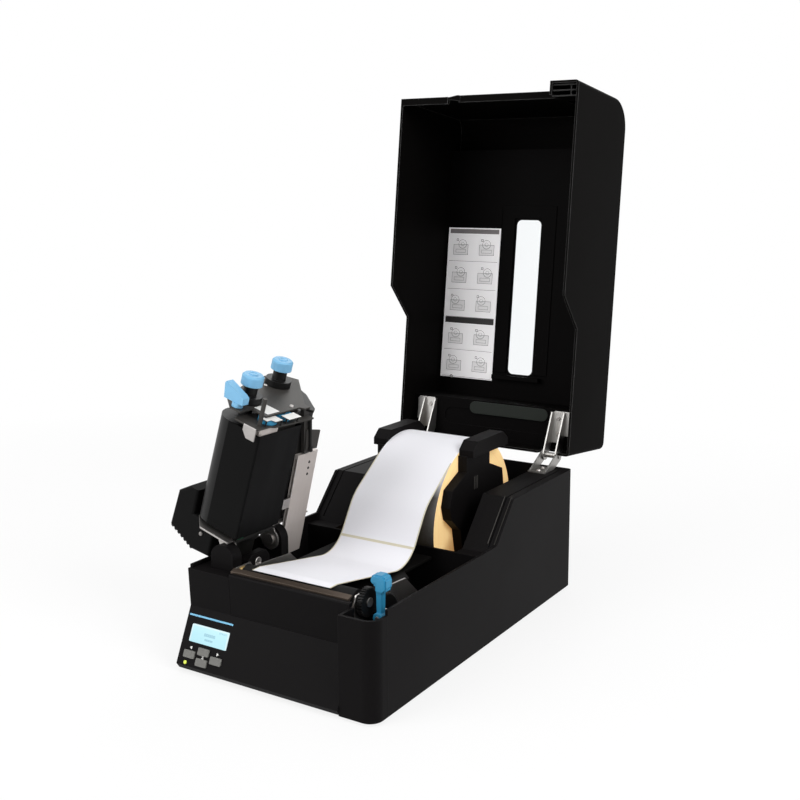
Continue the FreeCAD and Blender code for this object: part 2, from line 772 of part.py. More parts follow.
def build_gears():
    # each gear is turned so that a tooth meets a gap on the line of centres, which leans by train_angle
    build_gear("platen_gear", "platen_teeth", ("platen_y", "platen_z"), "platen_shaft", "-90-train_angle")
    build_gear("idler_gear", "idler_teeth", ("idler_y", "idler_z"), "stud_radius+run_fit",
               "90-train_angle+180/idler_teeth")
    build_gear("motor_gear", "motor_teeth", ("motor_y", "motor_z"), "", "90-train_angle")
    shaft = nodes[-1]
    add(shaft, "YZ", [("circle", "0", "0", "motor_shaft")], "frame_right_x-motor_long/2-gear_x", "0")


def build_motor():
    body = node("feed_motor")
    half = "motor_square/2"
    cham = "(motor_square/2-4)"
    add(body, "YZ", [[
        (f"motor_y-{cham}", f"motor_z-{half}"), (f"motor_y+{cham}", f"motor_z-{half}"),
        (f"motor_y+{half}", f"motor_z-{cham}"), (f"motor_y+{half}", f"motor_z+{cham}"),
        (f"motor_y+{cham}", f"motor_z+{half}"), (f"motor_y-{cham}", f"motor_z+{half}"),
        (f"motor_y-{half}", f"motor_z+{cham}"), (f"motor_y-{half}", f"motor_z-{cham}"),
    ]], "frame_right_x-motor_long", "frame_right_x")
    add(body, "YZ", [("circle", "motor_y", "motor_z", "motor_pilot")], "frame_right_x",
        "frame_right_x+plate_thick")
    cut(body, "YZ", [("circle", "motor_y", "motor_z", "motor_shaft+run_fit")],
        "frame_right_x-motor_long/2-part_gap", "frame_right_x+plate_thick+1")


def build_deck():
    body = node("media_deck")
    left, right = "-frame_left_x+part_gap", "deck_right_x"
    back = "bay_front_y-case_wall-part_gap"
    add(body, "XY", [[
        (left, "deck_front_y"), (right, "deck_front_y"), (right, "deck_narrow_y"),
        ("deck_narrow_x", "deck_narrow_y+12"), ("deck_narrow_x", back), (left, back),
    ]], "tray_bottom", "tray_top")
    add(body, "XY", [box(left, right, "deck_front_y", "deck_front_y+deck_thick")], "tray_top-8",
        "tray_bottom")
    tear = node("tear_bar")
    add(tear, "YZ", [[
        ("tear_front_y", "platen_z-4"), ("tear_front_y+tear_thick", "platen_z-4"),
        ("tear_front_y+tear_thick", "tear_top-3.2"), ("tear_back_y", "tear_top-1.2"),
        ("tear_back_y-0.5", "tear_top"), ("tear_front_y", "tear_top-1.8"),
    ]], left, "frame_right_x-part_gap")


# Label stock: the roll on its core and the slack web that dips over the deck to the platen
def build_labels():
    centre = ("roll_y", "roll_z")
    roll = node("label_roll")
    add(roll, "YZ", [("circle", *centre, "roll_radius"), ("circle", *centre, "core_outer")], "-label_half",
        "label_half")
    core = node("roll_core")
    add(core, "YZ", [("circle", *centre, "core_outer"), ("circle", *centre, "core_inner")], "-label_half",
        "label_half")
    web = node("label_web")
    platen_top = "platen_z+platen_radius+part_gap"
    inside, outside = "-web_thick/2", "+web_thick/2"
    add(web, "YZ", [[
        ("web_end_y", platen_top), ("platen_y", platen_top), web_side("foot", "web_rise", 1),
        (*web_side("dip", "web_steep", 1), f"web_sag{outside}"), web_side("brow", "web_steep", 1),
        (*web_side("crest", "web_head", 1), f"-(web_crown{inside})"), web_side("leave", "web_head", 1),
        web_side("leave", "web_head", -1), web_side("crest", "web_head", -1),
        (*web_side("brow", "web_steep", -1), f"web_crown{outside}"), web_side("dip", "web_steep", -1),
        (*web_side("foot", "web_rise", -1), f"-(web_sag{inside})"),
        ("platen_y", f"{platen_top}+web_thick"), ("web_end_y", f"{platen_top}+web_thick"),
    ]], "-label_half", "label_half")


def web_side(mark, heading, side):
    """A corner of the web: half its thickness off a marked point of its path, square to the heading there."""
    off = f"({side})*web_thick/2"
    return f"web_{mark}_y-{off}*sin({heading})", f"web_{mark}_z+{off}*cos({heading})"


# Media holders: a pair of finger-grip cheeks on two rails, each with a hub in the roll's core
def build_holders():
    rails = node("holder_rails")
    spots = ("roll_y-rail_reach", "roll_y+rail_reach")
    add(rails, "YZ", [("circle", y, "rail_z", "rail_radius") for y in spots], "-bay_half", "bay_half")
    foot = "(rail_radius+3.5)"
    cheek = [
        (f"roll_y-rail_reach-{foot}", "rail_z-rail_radius-1"),
        (f"roll_y+rail_reach+{foot}", "rail_z-rail_radius-1"),
        (f"roll_y+rail_reach+{foot}", f"rail_z+{foot}"), ("roll_y+30", "rail_z+26"),
        ("roll_y+28", "roll_z-8"),
        ("roll_y+40", "roll_z+14"), ("roll_y+45", "roll_z+26"), ("roll_y+42", "roll_z+43"),
        ("roll_y+14", "roll_z+54"),
        ("roll_y+14", "roll_z+70"), ("roll_y-33", "roll_z+70"), ("roll_y-33", "roll_z+54"),
        ("roll_y-61", "roll_z+42"),
        ("roll_y-66", "roll_z+26"), ("roll_y-62", "roll_z+13"), ("roll_y-45", "roll_z-1"),
        ("roll_y-34", "rail_z+26"),
        (f"roll_y-rail_reach-{foot}", f"rail_z+{foot}"),
    ]
    cap = [
        ("roll_y-31", "roll_z+69"), ("roll_y+42", "roll_z+69"), ("roll_y+42", "roll_z+76"),
        ("roll_y+32", "roll_z+84"), ("roll_y-22", "roll_z+84"), ("roll_y-31", "roll_z+76"),
    ]
    bores = [("circle", y, "rail_z", "rail_radius+run_fit") for y in spots]
    hub = ("circle", "roll_y", "roll_z", "core_inner-part_gap")
    for label, start, stop, cap_stop, hub_stop in (
        ("media_holder_right", "holder_in_x", "holder_out_x", "holder_in_x+holder_cap",
            "holder_in_x-hub_deep"),
        ("media_holder_left", "-holder_out_x", "-holder_in_x", "-holder_in_x-holder_cap",
            "-holder_in_x+hub_deep"),
    ):
        body = node(label)
        add(body, "YZ", [cheek] + bores, start, stop)
        right = label.endswith("right")
        add(body, "YZ", [cap], "holder_in_x" if right else cap_stop, cap_stop if right else "-holder_in_x")
        add(body, "YZ", [hub], hub_stop if right else "-holder_in_x", "holder_in_x" if right else hub_stop)


# Head swing: knuckles on the case, pins, and the moving head's own pieces
def build_head_pivot():
    block = node("head_pivot_block")
    pin = ("circle", "head_pin_x", "head_pin_z", "head_pin_radius")
    left, right = "head_pin_x-knuckle_radius", "head_pin_x+knuckle_radius"
    front_end, rear_end = "knuckle_front_y+knuckle_long", "rear_knuckle_y+rear_knuckle_long"
    seats = (("block_top", "knuckle_front_y", front_end), ("floor_top", "rear_knuckle_y", rear_end))
    for seat, start, stop in seats:
        add(block, "XZ", [[
            (left, seat), (right, seat), (right, "head_pin_z"),
            ("head_pin_x", "head_pin_z+knuckle_radius", "knuckle_radius"),
            (left, "head_pin_z", "knuckle_radius"),
        ]], start, stop)
    cut(block, "XZ", [pin], "knuckle_front_y+2", front_end)
    cut(block, "XZ", [pin], "rear_knuckle_y", f"{rear_end}-2")
    pins = node("head_pivot_pins")
    add(pins, "XZ", [pin], "knuckle_front_y+2", "knuckle_front_y+knuckle_long+part_gap+plate_thick+1.5")
    add(pins, "XZ", [pin], "rear_knuckle_y-part_gap-plate_thick-1.5", "rear_knuckle_y+rear_knuckle_long-2")


def build_head_frame():
    end = node("head_end_plate")
    journals = [("circle", "takeup_y", "takeup_z", "journal_radius+run_fit"),
                ("circle", "supply_y", "supply_z", "journal_radius+run_fit")]
    front = "takeup_y-26"
    strap = ("arm_tab_foot_y-arm_tab_wide/2", "arm_tab_foot_y+arm_tab_wide/2")
    add(end, "YZ", [[
        (front, "takeup_z-2"), (front, "lever_z-lever_stub-6"), ("lever_y+9", "lever_z-lever_stub-6"),
        ("lever_y+9", "bridge_z+1.5"), (f"{strap[0]}-4", "bridge_z+1.5"),
        (f"{strap[0]}-1.5", "bridge_z-2.5"), (f"{strap[1]}-0.5", "bridge_z-2.5"),
        (f"{strap[1]}-0.5", "bridge_z+4"), ("supply_y+32", "supply_z"), ("supply_y+22", "supply_z+20"),
        ("supply_y-10", "supply_z+20"), ("takeup_y-10", "takeup_z+16"),
    ], ("circle", "lever_y", "lever_z", "lever_stub+run_fit")] + journals, "end_plate_x", "end_plate_out")
    reach_up = "(arm_right_x-head_pin_x)*sin(arm_tilt)"
    add(end, "XY", [[
        ("arm_right_x+1", "arm_tab_y-arm_tab_wide/2"), ("end_plate_x", strap[0]),
        ("end_plate_x", strap[1]), ("arm_right_x+1", "arm_tab_y+arm_tab_wide/2"),
    ]], f"arm_z+{reach_up}-1", f"arm_top+{reach_up}-1")
    swing_head(end)
    side = node("head_side_plate")
    add(side, "YZ", [[
        (front, "takeup_z+2"), (front, "arm_top+2"), ("supply_y+32", "arm_top+2"),
        ("supply_y+32", "supply_z+6"), ("supply_y+22", "supply_z+22"), ("supply_y-10", "supply_z+22"),
        ("cover_back_y", "takeup_z+21"), ("takeup_y-10", "takeup_z+18"),
    ]] + journals, "side_plate_x", "side_plate_in")
    ear = [
        ("head_pin_x+2", "head_pin_z-ear_radius+0.3"), ("side_plate_in", "arm_top+2"),
        ("side_plate_in", "head_pin_z+22"), ("head_pin_x-5.5", "head_pin_z+ear_radius-1.7"),
    ]
    ring = ("circle", "head_pin_x", "head_pin_z", "ear_radius")
    hole = ("circle", "head_pin_x", "head_pin_z", "head_pin_radius+run_fit")
    for start in ("knuckle_front_y+knuckle_long+part_gap", "rear_knuckle_y-part_gap-plate_thick"):
        add(side, "XZ", [ear], start, f"{start}+plate_thick")
        add(side, "XZ", [ring], start, f"{start}+plate_thick")
        cut(side, "XZ", [hole], f"{start}-1", f"{start}+plate_thick+1")
    swing_head(side)
    bridge = node("head_bridge")
    add(bridge, "YZ", [[
        ("head_bar_back_y", "bridge_z"), ("bridge_back_y", "bridge_z"),
        ("bridge_back_y", "bridge_z+bridge_flange"),
        ("bridge_back_y-plate_thick", "bridge_z+bridge_flange"),
        ("bridge_back_y-plate_thick", "bridge_z+plate_thick"),
        ("head_bar_back_y", "bridge_z+plate_thick"),
    ]], "side_plate_in", "cap_x")
    add(bridge, "YZ", [[
        (front, "head_bar_z-0.9"), ("platen_y+9", "head_bar_z-0.9"), ("platen_y+14", "head_bar_z-3.4"),
        ("bridge_back_y-4", "bridge_z-8.5"), ("bridge_back_y+13", "bridge_z-9"),
        ("bridge_back_y+13", "bridge_z-3"), ("bridge_back_y+0.5", "bridge_z-2.5"),
        ("bridge_back_y-4", "bridge_z+4.5"), ("bridge_back_y-4", "bridge_z+16.5"),
        ("takeup_y-20", "takeup_z-7"), (front, "takeup_z-10"),
    ]], "cap_x", "cap_out")
    add(bridge, "YZ",
        [box("bridge_back_y-plate_thick", "bridge_back_y", "bridge_z", "bridge_z+bridge_flange")],
        "cap_x", "end_plate_x")
    add(bridge, "YZ", [("circle", "catch_y", "catch_z", "catch_radius")], "cap_out", "catch_end_x")
    add(bridge, "YZ", [("circle", y, "dial_z", "dial_stud") for y in ("dial_front_y", "dial_rear_y")],
        "cap_out", "dial_x+dial_thick+0.7")
    swing_head(bridge)


def build_print_head():
    body = node("print_head")
    top = "head_bar_z+head_bar_tall"
    add(body, "YZ", [[
        ("head_bar_front_y", "head_bar_z+2"), ("head_bar_front_y+2", "head_bar_z"),
        ("head_bar_back_y", "head_bar_z"),
        ("head_bar_back_y", top), ("head_bar_front_y+3", top), ("head_bar_front_y", f"{top}-3"),
    ]], "platen_left_x", "head_bar_right_x")
    fin = [(f"head_bar_front_y+5+{step}*4", f"{top}-4") for step in range(4)]
    cut(body, "YZ", [box(y, f"{y}+2", z, f"{top}+1") for y, z in fin], "platen_left_x-1",
        "head_bar_right_x+1")
    swing_head(body)
    film = node("ribbon_film")
    half = "film_thick/2"
    inner, outer = "film_corner-film_thick/2", "film_corner+film_thick/2"
    reach_y, reach_z = "(supply_y-film_bend_y)", "(supply_z-film_z)"
    span = f"sqrt({reach_y}^2+{reach_z}^2)"
    wrap = f"(supply_radius+part_gap+{half})"
    turn = f"(atan2({reach_z}; {reach_y})+asin({wrap}/{span}))"
    run = f"(sqrt({span}^2-{wrap}^2))"
    end_y, end_z = f"film_bend_y+{run}*cos({turn})", f"film_z+{run}*sin({turn})"
    off_y, off_z = f"{half}*sin({turn})", f"{half}*cos({turn})"
    bend = f"{half}*tan({turn}/2)"
    add(film, "YZ", [[
        (f"film_front_y-{half}", "takeup_z"), (f"film_front_y-{half}", "film_z+film_corner"),
        ("film_front_y+film_corner", f"film_z-{half}", outer), (f"film_bend_y+{bend}", f"film_z-{half}"),
        (f"{end_y}+{off_y}", f"{end_z}-{off_z}"), (f"{end_y}-{off_y}", f"{end_z}+{off_z}"),
        (f"film_bend_y-{bend}", f"film_z+{half}"), ("film_front_y+film_corner", f"film_z+{half}"),
        (f"film_front_y+{half}", "film_z+film_corner", f"-({inner})"), (f"film_front_y+{half}", "takeup_z"),
    ]], "film_left_x", "film_right_x")
    swing_head(film)


def build_spindles():
    for name, y, z, radius in (
        ("takeup", "takeup_y", "takeup_z", "takeup_radius"),
        ("supply", "supply_y", "supply_z", "supply_radius"),
    ):
        spindle = node(f"{name}_spindle")
        add(spindle, "YZ", [("circle", y, z, "spindle_radius")], "side_plate_in+part_gap",
            "end_plate_x-part_gap")
        add(spindle, "YZ", [("circle", y, z, "journal_radius")], "side_plate_x", "knob_start_x+knob_thick/2")
        clutch_end = "end_plate_out+part_gap+clutch_thick"
        add(spindle, "YZ", [("circle", y, z, "clutch_radius")], "end_plate_out+part_gap", clutch_end)
        add(spindle, "YZ", [("circle", y, z, "journal_radius+2.5")], clutch_end, "knob_start_x")
        swing_head(spindle)
        ribbon = node(f"{name}_ribbon")
        add(ribbon, "YZ", [("circle", y, z, radius), ("circle", y, z, "spindle_radius")], "film_left_x",
            "film_right_x")
        swing_head(ribbon)
        knob = node(f"{name}_knob")
        add(knob, "YZ", [("circle", y, z, "knob_radius")], "knob_start_x", "knob_start_x+knob_thick")
        cut(knob, "YZ", [("circle", y, z, "journal_radius")], "knob_start_x", "knob_start_x+knob_thick/2")
        rim = number("knob_start_x+knob_thick")
        soften(knob, "knob_round", lambda edge, mid: abs(mid.x - rim) < near, flat=True)
        swing_head(knob)


def build_head_trim():
    cover = node("gear_cover")
    add(cover, "XZ", [[
        ("side_plate_x", "takeup_z-4"), ("side_plate_x", "takeup_z+takeup_radius+3"),
        ("side_plate_x+24", "takeup_z+23"),
        ("side_plate_x+24", "takeup_z+34"), ("side_plate_x+14", "takeup_z+46"),
        ("side_plate_x-22", "takeup_z+48"),
        ("side_plate_x-34", "takeup_z+18"), ("side_plate_x-32", "takeup_z-4"),
    ]], "cover_front_y", "cover_back_y")
    front = number("cover_front_y")
    soften(cover, "cover_round",
           lambda edge, mid: abs(mid.y - front) < near and mid.x < number("side_plate_x+20"))
    swing_head(cover)
    drive = node("ribbon_motor")
    spot = ("ribbon_motor_y", "ribbon_motor_z")
    add(drive, "YZ", [("circle", *spot, "ribbon_motor_radius")], "side_plate_x-ribbon_motor_long",
        "side_plate_x")
    add(drive, "YZ", [("circle", *spot, "ribbon_motor_radius+3")], "side_plate_x-5", "side_plate_x")
    swing_head(drive)
    arm = node("sensor_arm")
    add(arm, "XY", [box("arm_left_x", "arm_right_x", "arm_front_y", "arm_back_y")], "arm_z", "arm_top")
    cut(arm, "YZ", [box("arm_front_y-1", "arm_front_y+arm_slot", "arm_z+1", "arm_top-1")],
        "arm_left_x-1", "arm_right_x-4")
    swing_head(arm, "arm_tilt")
    sensor = node("sensor_block")
    left, right = "sensor_x-sensor_wide/2", "sensor_x+sensor_wide/2"
    add(sensor, "XY", [box(left, right, "arm_front_y-sensor_reach", "arm_front_y-part_gap")],
        "film_z-film_thick/2-part_gap-sensor_thick", "film_z-film_thick/2-part_gap")
    add(sensor, "XY", [box(left, right, "arm_front_y-2.3", "arm_front_y+arm_slot-part_gap")],
        "arm_z+1+run_fit", "arm_top-1-run_fit-0.6")
    swing_head(sensor, "arm_tilt")
    for label, y in (("pressure_dial_front", "dial_front_y"), ("pressure_dial_rear", "dial_rear_y")):
        dial = node(label)
        add(dial, "YZ",
            [("circle", y, "dial_z", "dial_radius"), ("circle", y, "dial_z", "dial_stud+run_fit")],
            "dial_x", "dial_x+dial_thick")
        swing_head(dial)
    lever = node("head_lever")
    low, high = "lever_z-8", "lever_z-8+lever_long"
    add(lever, "XZ", [[
        ("lever_start_x", low), ("lever_start_x+6", low), ("lever_start_x+8", f"{low}+3"),
        ("lever_start_x+lever_rise", f"{high}-1.5"), ("lever_start_x+lever_rise-2", high),
        ("lever_start_x", f"{high}-2"),
    ]], "lever_y-lever_wide/2", "lever_y+lever_wide/2")
    add(lever, "YZ", [("circle", "lever_y", "lever_z", "lever_stub")], "end_plate_x-1.5", "lever_start_x")
    add(lever, "YZ", [("circle", "lever_y", "lever_z", "lever_stub+2")], "end_plate_out+part_gap",
        "lever_start_x")
    swing_head(lever)


# Head latch: a sprung blue finger on the right frame that hooks the catch pin of the bridge
def build_latch():
    lever = node("latch_lever")
    tip = "catch_end_x+0.7"
    over = "catch_z+catch_radius+1"
    add(lever, "XZ", [[
        ("latch_x-4", "latch_z-4"), ("latch_x+4", "latch_z-4", "6"), ("latch_x+4", "latch_z+20"),
        ("latch_x+8", "latch_z+24"), ("latch_x+8", "latch_z+34"), ("latch_x+5", "latch_z+37"),
        ("latch_x-4", "latch_z+37"), (tip, "latch_z+34"), (tip, over), ("latch_x-3", over),
        ("latch_x-4", "latch_z+20"),
    ], ("circle", "latch_x", "latch_z", "latch_pin_radius+run_fit")], "latch_front_y",
    "latch_front_y+latch_wide")


# Lid: outer shell, inner liner with the viewing slot, window, bare guide plate and hinge leaves
def build_lid():
    shell = node("lid_shell")
    add(shell, "YZ", [[
        ("lid_front_y", "lid_low"), ("step_foot_y", "lid_low"), ("step_top_y", "lid_high"),
        ("lid_rear_y", "lid_high"),
        ("lid_rear_y", "lid_top-lid_rear_round"), ("lid_rear_y-lid_rear_round", "lid_top", "lid_rear_round"),
        ("lid_front_y+lid_front_round", "lid_top"),
        ("lid_front_y", "lid_top-lid_front_round", "lid_front_round"),
    ]], "-half_width", "half_width")
    cut(shell, "XY", [[
        ("-half_width-1", "lid_front_y-1"), ("chunk_left_x", "lid_front_y-1"), ("chunk_left_x", "lid_brow_y"),
        ("outlet_left_x+6", "lid_brow_y"), ("outlet_left_x", "lid_left_brow_y"),
        ("-half_width-1", "lid_left_brow_y"),
    ]], "lid_low-1", "lid_top+1")
    top = number("lid_top")
    half = number("half_width")
    soften(shell, "lid_edge", lambda edge, mid: abs(abs(mid.x) - half) < near and abs(mid.z - top) < near)
    inner_round = "(lid_front_round-lid_wall)"
    set_in = "(lid_left_brow_y-lid_front_y)"
    cut(shell, "YZ", [[
        ("lid_left_brow_y+lid_wall", "lid_low-1"), ("lid_rear_y-lid_wall", "lid_low-1"),
        ("lid_rear_y-lid_wall", "shell_top_in"), (f"lid_front_y+lid_wall+{inner_round}", "shell_top_in"),
        ("lid_left_brow_y+lid_wall",
            f"shell_top_in-{inner_round}+sqrt({inner_round}^2-({inner_round}-{set_in})^2)",
         inner_round),
    ]], "-half_width+lid_wall", "half_width-lid_wall")
    cut(shell, "XY",
        [box("chunk_left_x+lid_wall", "half_width-lid_wall", "lid_front_y+lid_wall",
                "lid_left_brow_y+lid_wall+1")],
        "lid_low-1", "lid_top-lid_front_round")
    cut(shell, "XZ", [[
        ("outlet_left_x", "lid_low-1"), ("chunk_left_x", "lid_low-1"), ("chunk_left_x", "outlet_top"),
        ("outlet_left_x+8", "outlet_top"), ("outlet_left_x", "lid_low+2"),
    ]], "lid_brow_y-1", "lid_left_brow_y+lid_wall+1")
    add(shell, "XY", [box("outlet_left_x+6", "chunk_left_x+1", "lid_brow_y+0.5", "lid_brow_y+lid_rim_band")],
        "outlet_top", "outlet_top+lid_rim_thick")
    add(shell, "XY",
        [box("-half_width+1", "outlet_left_x", "lid_left_brow_y+0.5", "lid_left_brow_y+lid_rim_band")],
        "lid_low", "lid_low+lid_rim_thick")
    notch = ("lid_high-1", "lid_pin_z+hinge_eye+7")
    reach = "hinge_half+2"
    cut(shell, "XZ",
        [box(f"{sign}hinge_x-({reach})", f"{sign}hinge_x+{reach}", *notch) for sign in ("", "-")],
        "lid_rear_y-lid_wall-1", "lid_rear_y+1")
    cut(shell, "XY",
        [round_box("pane_left_x", "pane_left_x+pane_wide", "slot_front_y-4", "slot_rear_y+4", "slot_round")],
        "lid_top-lid_wall-1", "lid_top+1")
    swing_lid(shell)
    liner = node("lid_liner")
    side = "half_width-lid_wall"
    high, low = "liner_z+liner_thick", "liner_z"
    add(liner, "YZ", [[
        ("liner_front_y", low), ("liner_step_y", low), ("liner_step_y", "liner_shelf_z"),
        ("lid_rear_y-lid_wall", "liner_shelf_z"), ("lid_rear_y-lid_wall", "shelf_top"),
        ("liner_step_y+liner_thick", "shelf_top"), ("liner_step_y+liner_thick", high),
        ("liner_front_y+liner_thick", high), ("liner_front_y+liner_thick", "shell_top_in"),
        ("liner_front_y", "shell_top_in"),
    ]], f"-({side})", side)
    cut(liner, "XY", [round_box("slot_left_x", "slot_right_x", "slot_front_y", "slot_rear_y", "slot_round")],
        f"{low}-1", f"{high}+1")
    add(liner, "XY",
        [box("ledge_left_x", "ledge_left_x+ledge_wide", "slot_rear_y+2", "slot_rear_y+2+ledge_thick")],
        f"{low}-ledge_tall", low)
    cut(liner, "XY", [box("slot_left_x-19", "slot_right_x+19", "slot_front_y-12", "slot_rear_y+1")],
        f"{low}-1", f"{low}+0.8")
    cut(liner, "XY", [round_box("-61", "66", "liner_step_y+11", "liner_step_y+29", "8")],
        "liner_shelf_z-1", "liner_shelf_z+1")
    swing_lid(liner)
    pane = node("lid_window")
    add(pane, "XY",
        [round_box("pane_left_x", "pane_left_x+pane_wide", "slot_front_y-4", "slot_rear_y+4", "slot_round")],
        "lid_top-pane_thick", "lid_top")
    swing_lid(pane)
    guide = node("guide_plate")
    add(guide, "XY",
        [box("guide_left_x", "guide_left_x+guide_wide", "guide_front_y", "guide_front_y+guide_long")],
        f"{low}-guide_thick", low)
    swing_lid(guide)


def build_hinges():
    brackets = node("hinge_brackets")
    leaves = node("lid_hinge_leaves")
    eye = ("lid_pin_y", "lid_pin_z")
    for sign in ("", "-"):
        left, right = f"{sign}hinge_x-hinge_half", f"{sign}hinge_x+hinge_half"
        add(brackets, "XY", [box(left, right, "bracket_front_y", "bracket_back_y")], "rim_high",
            "rim_high+hinge_sheet")
        for start in (left, f"{right}-hinge_sheet"):
            add(brackets, "YZ", [[
                ("bracket_front_y", "rim_high"), ("bracket_back_y", "rim_high"),
                ("lid_pin_y+hinge_eye*0.5", "lid_pin_z-hinge_eye*0.866"),
                ("lid_pin_y-hinge_eye*0.5", "lid_pin_z+hinge_eye*0.866", "hinge_eye"),
            ]], start, f"{start}+hinge_sheet")
        add(brackets, "YZ", [("circle", *eye, "hinge_pin")], f"{left}-1", f"{right}+1")
        leaf_left, leaf_right = f"{left}+hinge_sheet+part_gap", f"{right}-hinge_sheet-part_gap"
        add(leaves, "XY", [box(leaf_left, leaf_right, "leaf_front_y", "leaf_back_y")],
            "liner_shelf_z-hinge_sheet", "liner_shelf_z")
        for start in (leaf_left, f"{leaf_right}-hinge_sheet"):
            add(leaves, "YZ", [[
                ("leaf_front_y", "liner_shelf_z-4"), ("lid_pin_y-hinge_eye*0.5", "lid_pin_z-hinge_eye*0.866"),
                ("lid_pin_y+hinge_eye*0.5", "lid_pin_z+hinge_eye*0.866", "hinge_eye"),
                ("leaf_back_y", "liner_shelf_z"), ("leaf_front_y", "liner_shelf_z"),
            ]], start, f"{start}+hinge_sheet")
        cut(leaves, "YZ", [("circle", *eye, "hinge_pin+run_fit")], leaf_left, leaf_right)
    swing_lid(leaves)


# Rear: mains inlet and rocker in the right bin, main board with its sockets in the left bin
def build_electrics():
    inlet = node("power_inlet")
    left, right = "inlet_x-inlet_wide/2", "inlet_x+inlet_wide/2"
    low, high = "inlet_z-inlet_tall/2", "inlet_z+inlet_tall/2"
    slim_left, slim_right = "inlet_x-rocker_wide/2", "inlet_x+rocker_wide/2"
    slim_low, slim_high = "rocker_z-rocker_tall/2", "rocker_z+rocker_tall/2"
    add(inlet, "XZ", [box(left, right, low, high)], "rear_y-inlet_deep", "rear_y")
    add(inlet, "XZ", [box(slim_left, slim_right, slim_low, slim_high)], "rear_y-rocker_deep", "rear_y")
    add(inlet, "XZ", [box(f"{left}-2", f"{right}+2", f"{low}-2", f"{slim_high}+2")], "rear_y", "rear_y+1.5")
    cut(inlet, "XZ", [box(f"{left}+2", f"{right}-2", f"{low}+2", f"{high}-2")], "rear_y-16", "rear_y+2")
    cut(inlet, "XZ", [box(f"{slim_left}+1.5", f"{slim_right}-1.5", f"{slim_low}+1.5", f"{slim_high}-1.5")],
        "rear_y-rocker_deep+3", "rear_y+2")
    cut(inlet, "YZ", [("circle", "rear_y-0.5", "rocker_z", "rocker_pin+run_fit")],
        f"{slim_left}+0.4", f"{slim_right}-0.4")
    blades = [box("inlet_x-1", "inlet_x+1", f"inlet_z+{step}-2.5", f"inlet_z+{step}+2.5") for step in (-7,
            0, 7)]
    add(inlet, "XZ", blades, "rear_y-17", "rear_y-3")
    rocker = node("power_rocker")
    wing = "rocker_tall/2-1.5-part_gap-0.9"
    add(rocker, "YZ", [[
        ("rear_y-2.5", f"rocker_z-({wing})"), ("rear_y+1.5", f"rocker_z-({wing})"),
        ("rear_y+0.3", "rocker_z"),
        ("rear_y+3.6", f"rocker_z+{wing}"), ("rear_y-2", f"rocker_z+{wing}"), ("rear_y-6", "rocker_z"),
    ]], f"{slim_left}+1.5+part_gap", f"{slim_right}-1.5-part_gap")
    add(rocker, "YZ", [("circle", "rear_y-0.5", "rocker_z", "rocker_pin")],
        f"{slim_left}+0.5", f"{slim_right}-0.5")
    board = node("main_board")
    add(board, "YZ", [box("board_front_y", "rear_y-case_wall-part_gap", "board_z", "board_z+board_tall")],
        "board_x", "board_x+board_thick")
    for index in range(3):
        low = f"board_z+10+{index}*port_pitch"
        near_x = "board_x+board_thick"
        add(board, "YZ", [box("rear_y-port_deep", "rear_y", low, f"{low}+port_tall")], near_x,
            f"{near_x}+1+port_wide")
        cut(board, "XZ",
            [box(f"{near_x}+2.5", f"{near_x}+port_wide-0.5", f"{low}+1.5", f"{low}+port_tall-1.5")],
            "rear_y-port_deep+4", "rear_y+1")


build_base_housing()
build_front_cover()
build_panel_pieces()
build_outlet_bezel()
build_floor()
build_frames()
build_platen()
build_gears()
build_motor()
build_deck()
build_labels()
build_holders()
build_head_pivot()
build_head_frame()
build_print_head()
build_spindles()
build_head_trim()
build_latch()
build_lid()
build_hinges()
build_electrics()

for body in nodes:
    if not body.ExpressionEngine:
        body.setExpression("Placement.Base.x", bind("shift_x"))
        body.setExpression("Placement.Base.y", bind("shift_y"))

doc.recompute()
for item in doc.Objects:
    if {"Invalid", "Error"} & set(item.State):
        raise RuntimeError(f"{item.Name} failed: {item.State}")
    if item.TypeId == "PartDesign::Pocket" and item.Shape.Volume > item.BaseFeature.Shape.Volume - 1e-6:
        raise RuntimeError(f"{item.Name} cuts nothing")
for body in nodes:
    if body.Shape.isNull() or not body.Shape.isValid():
        raise RuntimeError(f"{body.Label} has no valid shape")

os.makedirs("parts", exist_ok=True)
for body in nodes:
    body.Shape.exportStep(f"parts/{body.Label}.step")
print(len(nodes), "sub-parts")
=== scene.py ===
import json
import math

import bmesh
import bpy
from mathutils import Matrix, Vector


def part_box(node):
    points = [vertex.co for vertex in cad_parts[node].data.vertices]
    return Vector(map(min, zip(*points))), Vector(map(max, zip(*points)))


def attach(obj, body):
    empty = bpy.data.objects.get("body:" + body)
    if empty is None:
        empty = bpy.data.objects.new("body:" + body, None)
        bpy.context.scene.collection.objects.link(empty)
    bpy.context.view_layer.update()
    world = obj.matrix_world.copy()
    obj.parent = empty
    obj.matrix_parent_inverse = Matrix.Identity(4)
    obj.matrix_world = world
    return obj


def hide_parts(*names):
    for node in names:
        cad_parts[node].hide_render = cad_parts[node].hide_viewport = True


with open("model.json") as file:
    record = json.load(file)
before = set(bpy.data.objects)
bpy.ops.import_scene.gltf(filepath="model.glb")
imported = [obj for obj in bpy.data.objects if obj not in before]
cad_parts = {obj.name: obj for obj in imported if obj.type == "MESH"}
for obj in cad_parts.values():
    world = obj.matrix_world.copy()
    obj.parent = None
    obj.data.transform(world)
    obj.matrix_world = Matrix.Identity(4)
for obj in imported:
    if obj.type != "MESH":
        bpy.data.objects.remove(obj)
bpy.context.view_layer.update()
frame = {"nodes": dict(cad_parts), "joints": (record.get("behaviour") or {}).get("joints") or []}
nodes = frame["nodes"]
joints = {joint["name"]: joint for joint in frame["joints"]}

